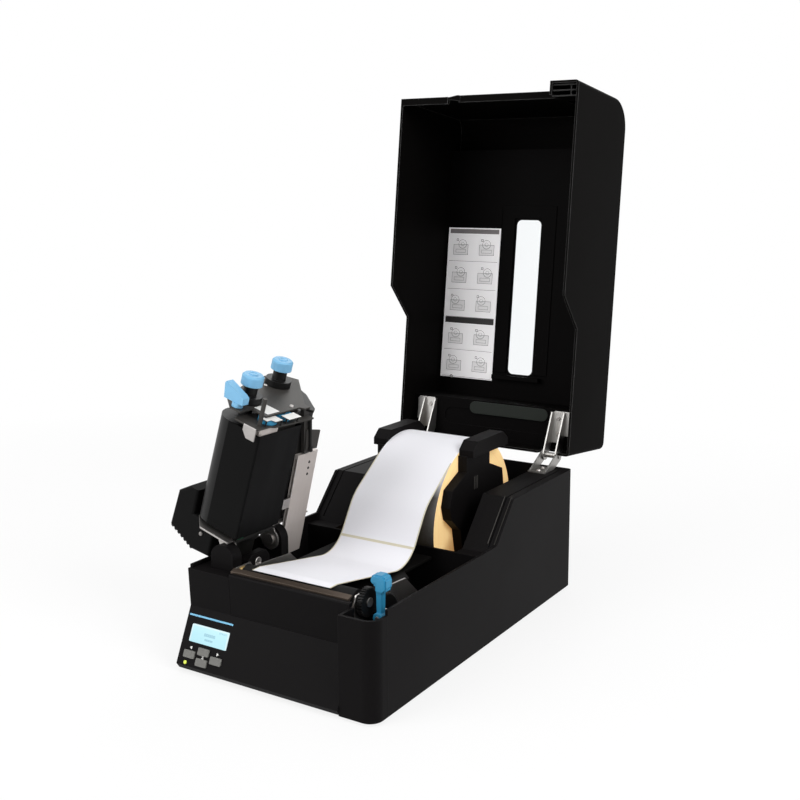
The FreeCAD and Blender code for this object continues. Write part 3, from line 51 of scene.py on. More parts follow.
# where the case stands in the frame, and how far open the lid and the print head are
places = {
    "shiftX": 0.085,
    "shiftY": 0.1635,
    "lidOpen": joints["lid_hinge"]["range_deg"][1],
    "headOpen": joints["head_swing"]["range_deg"][1],
    "armTilt": 3.5,
    "lidPin": joints["lid_hinge"]["pos_m"],
    "headPin": joints["head_swing"]["pos_m"],
}


def spot(x, y, z):
    # millimetres from the middle of the case, at table level
    return Vector((x / 1000 + places["shiftX"], y / 1000 + places["shiftY"], z / 1000))


def swung(pin, angle, axis):
    pin = Matrix.Translation(pin)
    return pin @ Matrix.Rotation(math.radians(-angle), 4, axis) @ pin.inverted()


# pieces are drawn with everything shut, then turned to the open rest pose
turns = {
    "case": Matrix.Identity(4),
    "lid": swung(places["lidPin"], places["lidOpen"], "X"),
    "head": swung(places["headPin"], places["headOpen"], "Y"),
    "arm": swung(places["headPin"], places["headOpen"] + places["armTilt"], "Y"),
}


class Wire:
    def __init__(self, graph, socket):
        self.graph, self.socket = graph, socket

    def maths(self, operation, *values):
        return self.graph.node("ShaderNodeMath", {"operation": operation}, dict(enumerate(values)))

    def __add__(self, other):
        return self.maths("ADD", self, other)

    def __radd__(self, other):
        return self.maths("ADD", other, self)

    def __sub__(self, other):
        return self.maths("SUBTRACT", self, other)

    def __rsub__(self, other):
        return self.maths("SUBTRACT", other, self)

    def __mul__(self, other):
        return self.maths("MULTIPLY", self, other)

    def __truediv__(self, other):
        return self.maths("DIVIDE", self, other)

    def __gt__(self, other):
        return self.maths("GREATER_THAN", self, other)

    def __lt__(self, other):
        return self.maths("LESS_THAN", self, other)

    def __abs__(self):
        return self.maths("ABSOLUTE", self)

    def sine(self):
        return self.maths("SINE", self)

    def root(self):
        return self.maths("SQRT", self)

    def fraction(self):
        return self.maths("FRACT", self)

    def clamped(self):
        return self.maths("MINIMUM", self.maths("MAXIMUM", self, 0.0), 1.0)


class Graph:
    def __init__(self, tree):
        self.tree = tree

    def feed(self, socket, value):
        if isinstance(value, (list, tuple)) and value and isinstance(value[0], Wire):
            for one in value:
                self.tree.links.new(one.socket, socket)
        elif isinstance(value, Wire):
            self.tree.links.new(value.socket, socket)
        else:
            socket.default_value = value

    def node(self, kind, settings=None, inputs=None, out=0):
        made = self.tree.nodes.new(kind)
        for key, value in (settings or {}).items():
            setattr(made, key, value)
        for key, value in (inputs or {}).items():
            self.feed(made.inputs[key], value)
        return Wire(self, made.outputs[out])


class Paint(Graph):
    def __init__(self, name):
        self.open(bpy.data.materials.new(name))

    @classmethod
    def over(cls, material):
        # goes on painting a finish that is already there
        paint = cls.__new__(cls)
        paint.open(material)
        return paint

    def open(self, material):
        self.material = material
        material.use_nodes = True
        super().__init__(material.node_tree)
        self.shader = self.tree.nodes["Principled BSDF"]

    def place(self):
        return self.node("ShaderNodeTexCoord", out="Object")

    def split(self, vector=None, kind="Object"):
        vector = vector or self.node("ShaderNodeTexCoord", out=kind)
        made = self.node("ShaderNodeSeparateXYZ", None, {0: vector})
        outs = made.socket.node.outputs
        return [Wire(self, outs[index]) for index in range(3)]

    def shares(self, node):
        # how far across and up a node's box
        low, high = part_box(node)
        x, z = self.split()[::2]
        return (x - low.x) / (high.x - low.x), (z - low.z) / (high.z - low.z)

    def turned(self, turn=(0, 0, 0), scale=(1, 1, 1)):
        return self.node("ShaderNodeMapping", None,
                         {"Vector": self.place(), "Rotation": turn, "Scale": scale})

    def noise(self, scale, detail=2.0, vector=None):
        return self.node("ShaderNodeTexNoise", None,
                         {"Vector": vector or self.place(), "Scale": scale, "Detail": detail})

    def mix(self, share, first, second):
        first = first if isinstance(first, Wire) else (*first, 1)
        second = second if isinstance(second, Wire) else (*second, 1)
        return self.node("ShaderNodeMix", {"data_type": "RGBA"}, {0: share, 6: first, 7: second}, 2)

    def vector(self, operation, *values, out=0):
        return self.node("ShaderNodeVectorMath", {"operation": operation}, dict(enumerate(values)), out)

    def rounded(self, radius):
        return self.node("ShaderNodeBevel", {"samples": 4}, {"Radius": radius})

    def edges(self, radius, gain):
        # 0 on flat ground, rising to 1 on outer and inner corners
        flat = self.node("ShaderNodeNewGeometry", out="Normal")
        same = self.vector("DOT_PRODUCT", self.rounded(radius), flat, out="Value")
        return ((1 - same) * gain).clamped()

    def fromAxis(self, joint):
        # distance from a joint's axis
        start = self.vector("SUBTRACT", self.place(), joint["pos_m"])
        side = self.vector("CROSS_PRODUCT", start, joint["axis"])
        return self.vector("LENGTH", side, out="Value")

    def bump(self, height, strength, distance, corner=0.0004):
        inputs = {"Height": height, "Strength": strength, "Distance": distance}
        if corner:
            inputs["Normal"] = self.rounded(corner)
        self.set({"Normal": self.node("ShaderNodeBump", None, inputs)})

    def set(self, values):
        for key, value in values.items():
            self.feed(self.shader.inputs[key], value)
        return self.material


def tint(red, green, blue):
    # screen colour to light
    shares = [level / 255 for level in (red, green, blue)]
    return tuple(share / 12.92 if share < 11 / 255 else ((share + 0.055) / 1.055) ** 2.4 for share in shares)


def band(wire, low, high):
    # 1 between two limits, 0 outside
    return (wire > low) * (wire < high)


def mouldedPlastic(name, dark, light, rough, gloss=0.3, grain=1500, depth=0.00004,
                   highlightShare=0.5, edge=0.0006, shine=0.03):
    # grained surface with cloudy tone; the edges are painted paler as a painted highlight
    paint = Paint(name)
    cloud = paint.noise(9, 3)
    speck = paint.noise(grain, 1)
    # painted highlight: edges and corners take a paler colour and a little less roughness
    edgeHighlight = paint.edges(edge, 2.5) * (0.4 + paint.noise(55, 2) * 0.6)
    paint.bump(speck, 0.35, depth)
    highlightTone = tuple(min(1.0, level * 2.0 + shine) for level in light)
    return paint.set({
        "Base Color": paint.mix(edgeHighlight * highlightShare, paint.mix(cloud * 0.7 + speck * 0.3, dark, light), highlightTone),
        "Roughness": rough - 0.06 + cloud * 0.12 + speck * 0.06 - edgeHighlight * 0.1,
        "Specular IOR Level": gloss,
    })


def rolledSteel(name, dark, light, rough, along=(1, 1, 1), metal=1.0, gloss=0.5):
    # fine lines drawn out along one direction, with faint cloudy stains; the edges are painted brighter as a
    # painted highlight
    paint = Paint(name)
    lines = paint.noise(900, 2, paint.turned(scale=along))
    stain = paint.noise(24, 3)
    # painted highlight: edges and corners take a brighter colour
    edgeHighlight = paint.edges(0.0003, 2.0)
    paint.bump(lines, 0.12, 0.00005, 0.0003)
    bright = tuple(min(1.0, level * 1.4 + 0.01) for level in light)
    return paint.set({
        "Base Color": paint.mix(edgeHighlight * 0.4, paint.mix(lines * 0.6 + stain * 0.4, dark, light), bright),
        "Roughness": rough - 0.1 + lines * 0.14 + stain * 0.1,
        "Metallic": metal,
        "Specular IOR Level": gloss,
    })


boardGreens = (0.008, 0.10, 0.045), (0.015, 0.16, 0.07)
plastics = {
    "caseBlack": {"dark": tint(11, 10, 10), "light": tint(16, 14, 15), "rough": 0.50, "gloss": 0.05},
    "lidBlack": {"dark": tint(8, 7, 7), "light": tint(12, 11, 10), "rough": 0.46, "gloss": 0.009,
                 "highlightShare": 1.0, "edge": 0.0011, "shine": 0.15},
    "linerBlack": {"dark": tint(5, 4, 4), "light": tint(8, 7, 7), "rough": 0.60, "gloss": 0.03,
                   "grain": 1100, "depth": 0.00007, "highlightShare": 0.2},
    "deckBlack": {"dark": tint(9, 8, 8), "light": tint(14, 13, 12), "rough": 0.55, "gloss": 0.05,
                  "grain": 1100, "depth": 0.00007},
    "shelfGrey": {"dark": tint(36, 39, 36), "light": tint(45, 48, 45), "rough": 0.5, "gloss": 0.05,
                  "grain": 1100, "depth": 0.00007},
    "coverGrey": {"dark": tint(12, 12, 12), "light": tint(18, 18, 18), "rough": 0.55, "gloss": 0.05,
                  "grain": 1300, "depth": 0.00006},
    "gearBlack": {"dark": tint(11, 11, 11), "light": tint(18, 17, 17), "rough": 0.4, "gloss": 0.2,
                  "grain": 2200, "depth": 0.00002},
    "footRubber": {"dark": tint(14, 14, 14), "light": tint(24, 23, 22), "rough": 0.85, "gloss": 0.2,
                   "grain": 1400, "depth": 0.00008},
    "knobBlue": {"dark": tint(115, 173, 212), "light": tint(131, 187, 222), "rough": 0.42, "gloss": 0.3,
                 "grain": 1800, "depth": 0.00002, "highlightShare": 0.2},
    "latchBlue": {"dark": tint(38, 132, 176), "light": tint(56, 148, 188), "rough": 0.36, "gloss": 0.4,
                  "grain": 1800, "depth": 0.00002, "highlightShare": 0.2},
    "keyGrey": {"dark": tint(100, 99, 96), "light": tint(116, 115, 111), "rough": 0.55, "gloss": 0.3,
                "grain": 2400, "depth": 0.00003, "highlightShare": 0.2},
    "boardGreen": {"dark": boardGreens[0], "light": boardGreens[1], "rough": 0.4, "gloss": 0.45,
                   "grain": 1600, "depth": 0.00003, "highlightShare": 0.2},
    "accentBlue": {"dark": tint(96, 168, 206), "light": tint(118, 186, 220), "rough": 0.3, "gloss": 0.4,
                   "highlightShare": 0.1},
}
steels = {
    "steel": {"dark": (0.34, 0.32, 0.31), "light": (0.50, 0.48, 0.46), "rough": 0.36, "along": (0.05, 1, 1)},
    "darkBar": {"dark": tint(76, 66, 58), "light": tint(98, 86, 76), "rough": 0.32, "along": (0.05, 1, 1),
                "metal": 0.7},
    "hingeSteel": {"dark": tint(150, 148, 145), "light": tint(178, 176, 173), "rough": 0.38,
                   "along": (0.2, 1, 0.2)},
    "barSteel": {"dark": tint(176, 168, 163), "light": tint(200, 192, 187), "rough": 0.42,
                 "along": (0.05, 1, 0.05), "metal": 0.35},
    "plateGrey": {"dark": tint(54, 52, 50), "light": tint(66, 64, 61), "rough": 0.5,
                  "metal": 0.3, "gloss": 0.2},
    "blackSteel": {"dark": tint(15, 15, 14), "light": tint(25, 24, 23), "rough": 0.45,
                   "metal": 0.0, "gloss": 0.2},
    "bushBrass": {"dark": (0.50, 0.35, 0.13), "light": (0.65, 0.47, 0.20), "rough": 0.3},
}
finishes = {name: mouldedPlastic(name, **look) for name, look in plastics.items()}
finishes.update({name: rolledSteel(name, **look) for name, look in steels.items()})


caseSeam = {"at": spot(0, -169.3, 0).y, "half": 0.0004, "deep": 6, "colour": (0.0004, 0.0004, 0.0004)}


def shellPlastic(name):
    # the case's own black with the narrow joint between front cover and base on both flanks
    paint = Paint.over(mouldedPlastic(name, **plastics["caseBlack"]))
    along = paint.split()[1]
    sideways = paint.split(kind="Normal")[0]
    inJoint = band(along, caseSeam["at"] - caseSeam["half"], caseSeam["at"] + caseSeam["half"])
    seam = inJoint * (abs(sideways) > 0.9)
    colour = paint.shader.inputs["Base Color"].links[0].from_socket
    height = paint.shader.inputs["Normal"].links[0].from_node.inputs["Height"]
    grain = Wire(paint, height.links[0].from_socket)
    paint.feed(height, grain - seam * caseSeam["deep"])
    return paint.set({"Base Color": paint.mix(seam, Wire(paint, colour), caseSeam["colour"])})


def mainBoard(name):
    # green board with bright socket shells standing out of its rear edge
    paint = Paint(name)
    socketDeep = 0.012
    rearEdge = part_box("main_board")[1].y
    shells = paint.split()[1] > rearEdge - socketDeep
    speck = paint.noise(1600, 1)
    paint.bump(speck, 0.2, 0.00003, 0.0003)
    green = paint.mix(speck, *boardGreens)
    shell = paint.mix(speck, (0.30, 0.29, 0.28), (0.42, 0.41, 0.40))
    return paint.set({
        "Base Color": paint.mix(shells, green, shell),
        "Metallic": shells * 0.9,
        "Roughness": 0.36 + speck * 0.1,
    })


paperFaces = (0.86, 0.855, 0.90), (0.93, 0.925, 0.96)
paperFibre = 1800
# the roll's side tones; glowLow, glowHigh and glow give its sides a painted glow
rollSide = {"turns": 9000, "bands": 420, "clouds": 60, "dark": (0.86, 0.62, 0.26), "light": (1.0, 0.90, 0.52),
            "glowLow": (0.74, 0.36, 0.11), "glowHigh": (0.92, 0.50, 0.19), "glow": 0.45}
# painted shade for the roll's outer face under the web
webShade = {"reach": 0.12, "gain": 1.2, "top": 0.62, "fade": 6, "colour": (0.048, 0.036, 0.018)}


def labelPaper(name):
    # white face stock with painted shade under the web; the sides of the wound roll show the yellow backing
    # in fine turns and glow a little as painted light
    paint = Paint(name)
    side = abs(paint.split(kind="Normal")[0]) > 0.6
    radius = paint.fromAxis(joints["roll_spin"])
    turnsWound = (radius * rollSide["turns"]).sine() * 0.5 + 0.5
    bands = paint.noise(1, 2, paint.node("ShaderNodeCombineXYZ", None, {0: radius * rollSide["bands"]}))
    cloud = paint.noise(rollSide["clouds"], 3)
    fibre = paint.noise(paperFibre, 2)
    wound = turnsWound * 0.25 + cloud * 0.25 + bands * 0.5
    backing = paint.mix(wound, rollSide["dark"], rollSide["light"])
    # painted shade: the face turns dark brown where occlusion finds the web close and the face looks downward
    light = paint.node("ShaderNodeAmbientOcclusion", {"samples": 8}, {"Distance": webShade["reach"]}, "AO")
    up = paint.split(paint.node("ShaderNodeNewGeometry", out="Normal"))[2]
    lower = ((webShade["top"] - up) * webShade["fade"]).clamped()
    shade = (1 - light * light * webShade["gain"]).clamped() * lower
    face = paint.mix(shade, paint.mix(fibre, *paperFaces), webShade["colour"])
    paint.bump(fibre * 0.4 + turnsWound * side, 0.2, 0.00006, 0)
    # painted light: the sides glow yellow although no lamp is inside the roll
    glow = paint.mix(bands, rollSide["glowLow"], rollSide["glowHigh"])
    return paint.set({
        "Base Color": paint.mix(side, face, backing),
        "Emission Color": paint.mix(side, (0, 0, 0), glow),
        "Emission Strength": rollSide["glow"],
        "Roughness": 0.62 + fibre * 0.12,
        "Specular IOR Level": 0.25,
    })


webGap = {"front": spot(0, -27.6, 0).y, "back": spot(0, -26.0, 0).y,
          "middle": spot(0, 0, 0).x, "edge": 0.0408, "dark": (0.56, 0.50, 0.31), "light": (0.70, 0.64, 0.44)}


def webPaper(name):
    # die-cut labels on a yellow backing: backing shows at the gap and along both edges
    paint = Paint(name)
    x, y = paint.split()[:2]
    gap = band(y, webGap["front"], webGap["back"])
    edge = abs(x - webGap["middle"]) > webGap["edge"]
    backing = gap + edge - gap * edge
    fibre = paint.noise(paperFibre, 2)
    face = paint.mix(fibre, *paperFaces)
    yellow = paint.mix(fibre, webGap["dark"], webGap["light"])
    paint.bump(fibre * 0.4 - backing, 0.3, 0.0001, 0)
    return paint.set({
        "Base Color": paint.mix(backing * 0.8, face, yellow),
        "Roughness": 0.60 + fibre * 0.12,
        "Specular IOR Level": 0.25,
    })


def inkFilm(name):
    # thin waxy film, slightly slack, so it shows long soft waves; the waves also lighten its colour a little
    # as a painted sheen
    paint = Paint(name)
    slant = (0, 0.3, 0)
    wavesAndSheen = paint.noise(26, 1, paint.turned(slant, (0.35, 1.2, 0.35)))
    fine = paint.noise(420, 2, paint.turned(slant, (0.1, 1, 0.1)))
    paint.bump(wavesAndSheen, 0.5, 0.002, 0)
    # painted sheen: the colour runs lighter where the waves rise
    return paint.set({
        "Base Color": paint.mix(wavesAndSheen, tint(7, 7, 7), tint(11, 11, 11)),
        "Roughness": 0.40 + fine * 0.1,
        "Specular IOR Level": 0.06,
    })


def woundInk(name, joint):
    # the wound film shows fine turns on its ends
    paint = Paint(name)
    radius = paint.fromAxis(joint)
    fine = paint.noise(300, 2)
    rings = (radius * 8000).sine() * 0.5 + 0.5
    paint.bump(fine + rings, 0.2, 0.0001, 0)
    return paint.set({
        "Base Color": paint.mix(fine * 0.6 + rings * 0.4, tint(9, 9, 9), tint(15, 14, 14)),
        "Roughness": 0.36 + fine * 0.12,
        "Specular IOR Level": 0.2,
    })


def coreCard(name):
    paint = Paint(name)
    fibre = paint.noise(500, 3, paint.turned(scale=(0.2, 1, 1)))
    paint.bump(fibre, 0.4, 0.0002, 0)
    return paint.set({
        "Base Color": paint.mix(fibre, (0.33, 0.23, 0.12), (0.52, 0.39, 0.23)),
        "Roughness": 0.8 + fibre * 0.1,
    })


def litDisplay(name):
    # back-lit panel with a dot grid and two bare text bars
    paint = Paint(name)
    x, z = paint.split()[::2]
    across, up = paint.shares("display_window")
    bars = band(across, 0.36, 0.66) * band(up, 0.50, 0.66) + band(across, 0.40, 0.62) * band(up, 0.27, 0.38)
    icons = band(across, 0.74, 0.94) * band(up, 0.80, 0.90) * ((across * 30).fraction() > 0.4)
    dots = ((x * 2400).sine() * (z * 2400).sine()) * 0.5 + 0.5
    rim = 1 - band(across, 0.03, 0.97) * band(up, 0.07, 0.93)
    glow = paint.noise(40, 1)
    lit = paint.mix(glow, (0.46, 0.84, 0.94), (0.60, 0.93, 1.0))
    framed = paint.mix(rim * 0.7, lit, (0.84, 0.95, 0.97))
    dimmed = paint.mix((bars + icons) * (0.40 + dots * 0.25), framed, (0.16, 0.38, 0.52))
    return paint.set({
        "Base Color": (0.02, 0.05, 0.06, 1),
        "Emission Color": dimmed,
        "Emission Strength": 0.85,
        "Roughness": 0.12 + glow * 0.05,
    })


def lampGlow(name):
    paint = Paint(name)
    glow = paint.noise(700, 1)
    return paint.set({
        "Base Color": paint.mix(glow, (0.35, 0.42, 0.03), (0.5, 0.55, 0.06)),
        "Emission Color": paint.mix(glow, (0.42, 0.5, 0.03), (0.6, 0.66, 0.08)),
        "Emission Strength": 0.6,
        "Roughness": 0.25 + glow * 0.05,
    })


# layout of the card's print; glow is a faint painted glow over the whole card
guideCard = {"upperFoot": 0.405, "upperTall": 0.1857, "lowerFoot": 0.005, "lowerTall": 0.18, "lowerStart": 7,
             "cellWide": 26, "topBar": (0.962, 0.992), "midBar": (0.365, 0.405), "glow": 0.18}


def guidePrint(name):
    # bare instruction card: two header bars and five panels of plain boxes and rings between thin rules; the
    # card also glows faintly as painted light
    paint = Paint(name)
    across, up = paint.shares("guide_plate")
    inside = band(across, 0.03, 0.97)
    upper = up > guideCard["upperFoot"]
    upperRow = (up - guideCard["upperFoot"]) / guideCard["upperTall"]
    lowerRow = (up - guideCard["lowerFoot"]) / guideCard["lowerTall"] + guideCard["lowerStart"]
    row = upperRow * upper + lowerRow * (1 - upper)
    column = across * 2
    cell = (column - column.fraction()) * 3.7 + (row - row.fraction())
    chance = ((cell * 12.9898).sine() * 437.585).fraction()
    right = (column.fraction() - 0.5) * guideCard["cellWide"]
    above = (row.fraction() - 0.5) * guideCard["cellWide"]

    def ring(a, b, radius, thick):
        reach = ((right - a) * (right - a) + (above - b) * (above - b)).root()
        return band(reach, radius - thick, radius)

    def box(a, b, wide, tall, thick):
        full = (abs(right - a) < wide) * (abs(above - b) < tall)
        return full * (1 - (abs(right - a) < wide - thick) * (abs(above - b) < tall - thick))

    lines = box(0, -2, 7.5, 5, 0.4) + box(0, -3.2, 5, 1.6, 0.3) + ring(chance * 5 - 2.5, 3.2, 4.2, 0.45)
    lines = (lines + ring(chance * 5 - 2.5, 3.2, 1.8, 0.35) + box(chance * 3 - 6, 7, 1.2, 1.2, 0.6)).clamped()
    shade = (abs(right) < 7.5) * band(above, -7, 3) * 0.35
    rules = band(row.fraction(), 0.0, 0.022)
    fleck = paint.noise(350, 2)
    card = paint.mix(fleck, tint(243, 241, 242), tint(250, 248, 249))
    drawn = paint.mix(shade * inside, card, tint(176, 175, 175))
    inked = paint.mix(lines * inside * 0.75, drawn, tint(84, 83, 83))
    ruled = paint.mix(rules * inside * 0.7, inked, tint(120, 120, 120))
    topBar = paint.mix(band(up, *guideCard["topBar"]) * inside, ruled, tint(112, 108, 108))
    paint.bump(fleck, 0.1, 0.00003, 0.0002)
    printed = paint.mix(band(up, *guideCard["midBar"]) * inside, topBar, tint(44, 42, 42))
    # painted light: the card glows faintly in its own printed colours
    return paint.set({
        "Base Color": printed,
        "Emission Color": printed,
        "Emission Strength": guideCard["glow"],
        "Roughness": 0.45 + fleck * 0.1,
        "Specular IOR Level": 0.2,
    })


def clearPane(name):
    paint = Paint(name)
    smear = paint.noise(30, 2)
    return paint.set({
        "Base Color": (0.93, 0.95, 0.96, 1),
        "Roughness": 0.02 + smear * 0.03,
        "Transmission Weight": 1.0,
        "IOR": 1.06,
    })


def stickerWhite(name):
    paint = Paint(name)
    fibre = paint.noise(900, 2)
    paint.bump(fibre, 0.1, 0.00003, 0)
    return paint.set({
        "Base Color": paint.mix(fibre, tint(222, 221, 217), tint(236, 235, 232)),
        "Roughness": 0.5 + fibre * 0.1,
        "Specular IOR Level": 0.3,
    })


finishes.update({
    "shellBlack": shellPlastic("shellBlack"),
    "mainBoard": mainBoard("mainBoard"),
    "labelPaper": labelPaper("labelPaper"),
    "webPaper": webPaper("webPaper"),
    "inkFilm": inkFilm("inkFilm"),
    "supplyInk": woundInk("supplyInk", joints["supply_spin"]),
    "takeupInk": woundInk("takeupInk", joints["takeup_spin"]),
    "coreCard": coreCard("coreCard"),
    "litDisplay": litDisplay("litDisplay"),
    "lampGlow": lampGlow("lampGlow"),
    "guidePrint": guidePrint("guidePrint"),
    "clearPane": clearPane("clearPane"),
    "stickerWhite": stickerWhite("stickerWhite"),
})
print("finishes:", len(finishes))

coats = {
    "shellBlack": ["base_housing", "front_cover"],
    "caseBlack": ["outlet_bezel", "head_pivot_block", "media_holder_left",
                  "media_holder_right", "power_inlet", "power_rocker"],
    "lidBlack": ["lid_shell"],
    "linerBlack": ["lid_liner"],
    "deckBlack": ["media_deck"],
    "coverGrey": ["gear_cover"],
    "gearBlack": ["platen_gear", "idler_gear", "motor_gear", "supply_spindle", "takeup_spindle"],
    "footRubber": ["rubber_feet", "platen_roller"],
    "knobBlue": ["supply_knob", "takeup_knob", "head_lever"],
    "latchBlue": ["latch_lever", "pressure_dial_front", "pressure_dial_rear"],
    "keyGrey": ["key_up", "key_left", "key_right", "key_down"],
    "boardGreen": ["panel_board"],
    "mainBoard": ["main_board"],
    "steel": ["left_frame", "right_frame", "holder_rails", "head_pivot_pins", "platen_shaft",
              "sensor_block", "head_side_plate"],
    "darkBar": ["tear_bar"],
    "hingeSteel": ["hinge_brackets", "lid_hinge_leaves"],
    "barSteel": ["sensor_arm", "print_head"],
    "plateGrey": ["head_end_plate", "head_bridge"],
    "blackSteel": ["bottom_plate", "feed_motor", "ribbon_motor"],
    "bushBrass": ["platen_bushes"],
    "labelPaper": ["label_roll"],
    "webPaper": ["label_web"],
    "inkFilm": ["ribbon_film"],
    "supplyInk": ["supply_ribbon"],
    "takeupInk": ["takeup_ribbon"],
    "coreCard": ["roll_core"],
    "litDisplay": ["display_window"],
    "lampGlow": ["status_lamp"],
    "guidePrint": ["guide_plate"],
    "clearPane": ["lid_window"],
    "accentBlue": ["accent_strip"],
}
for finish, names in coats.items():
    for name in names:
        nodes[name].data.materials.clear()
        nodes[name].data.materials.append(finishes[finish])
print("coated nodes:", sum(len(names) for names in coats.values()))


def addPiece(name, mesh, body, finish):
    mesh.materials.clear()
    mesh.materials.append(finishes[finish])
    piece = bpy.data.objects.new(name, mesh)
    bpy.context.scene.collection.objects.link(piece)
    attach(piece, body)
    return piece


def landOn(node, start, towards, turn):
    # follow a line in the shut drawing until it meets a node; gives the spot and the way back
    start = turns[turn] @ spot(*start)
    towards = (turns[turn].to_3x3() @ Vector(towards)).normalized()
    hit, at = nodes[node].ray_cast(start, towards)[:2]
    if not hit:
        print("no surface under", node, tuple(start))
    return at if hit else start, -towards


joining = {"weld": 1e-7, "sharp": 0.5, "bevelSteps": 2}


def meshFrom(name, shape, bevel=0.0):
    bmesh.ops.remove_doubles(shape, verts=shape.verts, dist=joining["weld"])
    bmesh.ops.recalc_face_normals(shape, faces=shape.faces)
    if bevel:
        sharp = [edge for edge in shape.edges if edge.calc_face_angle(0) > joining["sharp"]]
        bmesh.ops.bevel(shape, geom=sharp, offset=bevel / 1000, segments=joining["bevelSteps"],
                        affect="EDGES", clamp_overlap=True)
    mesh = bpy.data.meshes.new(name)
    shape.to_mesh(mesh)
    shape.free()
    return mesh


def slab(name, corners, push, body, finish, turn="case", bevel=0.25):
    # a flat outline in millimetres, pushed out along one direction
    shape = bmesh.new()
    push = Vector(push) / 1000
    low = [shape.verts.new(turns[turn] @ spot(*corner)) for corner in corners]
    high = [shape.verts.new(turns[turn] @ (spot(*corner) + push)) for corner in corners]
    shape.faces.new(low)
    shape.faces.new(high)
    for index in range(len(corners)):
        after = (index + 1) % len(corners)
        shape.faces.new((low[index], low[after], high[after], high[index]))
    return addPiece(name, meshFrom(name, shape, bevel), body, finish)


def lathe(name, at, axis, profile, body, finish, sides=40, hollow=False):
    # a turned piece: radius and height pairs in millimetres, from its foot at a spot along an axis
    shape = bmesh.new()
    across = Vector(axis).normalized()
    toward = across.orthogonal().normalized()
    rings = []
    for radius, height in profile:
        ring = []
        for step in range(sides):
            arm = Matrix.Rotation(2 * math.pi * step / sides, 3, across) @ toward
            ring.append(shape.verts.new(at + across * (height / 1000) + arm * (radius / 1000)))
        rings.append(ring)
    for inner, outer in zip(rings, rings[1:] + rings[:1] if hollow else rings[1:]):
        for step in range(sides):
            after = (step + 1) % sides
            shape.faces.new((inner[step], inner[after], outer[after], outer[step]))
    if not hollow:
        shape.faces.new(rings[0])
        shape.faces.new(rings[-1])
    return addPiece(name, meshFrom(name, shape), body, finish)


class Growth(Graph):
    def __init__(self, name, sizes):
        super().__init__(bpy.data.node_groups.new(name, "GeometryNodeTree"))
        sockets = self.tree.interface
        sockets.new_socket("Points", in_out="INPUT", socket_type="NodeSocketGeometry")
        self.keys = {}
        for size, value in sizes.items():
            made = sockets.new_socket(size, in_out="INPUT", socket_type="NodeSocketFloat")
            made.default_value = value
            self.keys[size] = made.identifier
        finish = sockets.new_socket("Finish", in_out="INPUT", socket_type="NodeSocketMaterial")
        self.keys["Finish"] = finish.identifier
        sockets.new_socket("Pieces", in_out="OUTPUT", socket_type="NodeSocketGeometry")
        self.entry = self.tree.nodes.new("NodeGroupInput")
        self.exit = self.tree.nodes.new("NodeGroupOutput")

    def size(self, name):
        return Wire(self, self.entry.outputs[name])

    def triple(self, x, y, z):
        return self.node("ShaderNodeCombineXYZ", None, {0: x, 1: y, 2: z})

    def block(self, x, y, z, lift):
        made = self.node("GeometryNodeMeshCube", None, {"Size": self.triple(x, y, z)})
        return self.moved(made, (0, 0, lift))

    def moved(self, shape, place=(0, 0, 0), turn=(0, 0, 0)):
        place = [self.triple(*place)] if any(isinstance(one, Wire) for one in place) else place
        return self.node("GeometryNodeTransform", None,
                         {"Geometry": shape, "Translation": place, "Rotation": turn})

    def scatter(self, shape):
        # one copy on each point, turned and stretched by what the point carries
        facing, stretch = [
            self.node("GeometryNodeInputNamedAttribute", {"data_type": "FLOAT_VECTOR"}, {"Name": carried})
            for carried in ("facing", "stretch")]
        faced = self.node("FunctionNodeEulerToRotation", None, {0: facing})
        copies = self.node("GeometryNodeInstanceOnPoints", None, {
            "Points": self.size("Points"), "Instance": shape, "Rotation": faced, "Scale": stretch})
        solid = self.node("GeometryNodeRealizeInstances", None, {0: copies})
        painted = self.node("GeometryNodeSetMaterial", None,
                            {"Geometry": solid, "Material": self.size("Finish")})
        self.feed(self.exit.inputs["Pieces"], painted)
        return self


def screwTree():
    # tapered round head with a cross recess, foot at zero
    growth = Growth("screwHeads", {"Radius": 0.002, "Height": 0.0012, "Slot": 0.0007, "Depth": 0.0007})
    radius, height, slot, depth = [growth.size(name) for name in ("Radius", "Height", "Slot", "Depth")]
    head = growth.node("GeometryNodeMeshCone", None, {
        "Vertices": 20, "Side Segments": 1, "Depth": height,
        "Radius Top": radius * 0.74, "Radius Bottom": radius})
    reach, deep = radius * 1.1, depth * 2
    cuts = [growth.block(reach, slot, deep, height), growth.block(slot, reach, deep, height)]
    cut = growth.node("GeometryNodeMeshBoolean", {"operation": "DIFFERENCE"},
                      {"Mesh 1": head, "Mesh 2": cuts})
    return growth.scatter(cut)


# from the middle of a square to its corner, as a share of its side
squareReach = 0.7071


def ribTree():
    # a moulded rib on a square foot, tapered to its crest; each point stretches it to its length
    growth = Growth("mouldedRibs", {"Width": 0.0016, "Height": 0.0012, "Taper": 0.7})
    width, height, taper = [growth.size(name) for name in ("Width", "Height", "Taper")]
    half = width * squareReach
    rib = growth.node("GeometryNodeMeshCone", None, {
        "Vertices": 4, "Radius Top": half * taper, "Radius Bottom": half, "Depth": height})
    square = growth.moved(rib, turn=(0, 0, math.pi / 4))
    return growth.scatter(square)


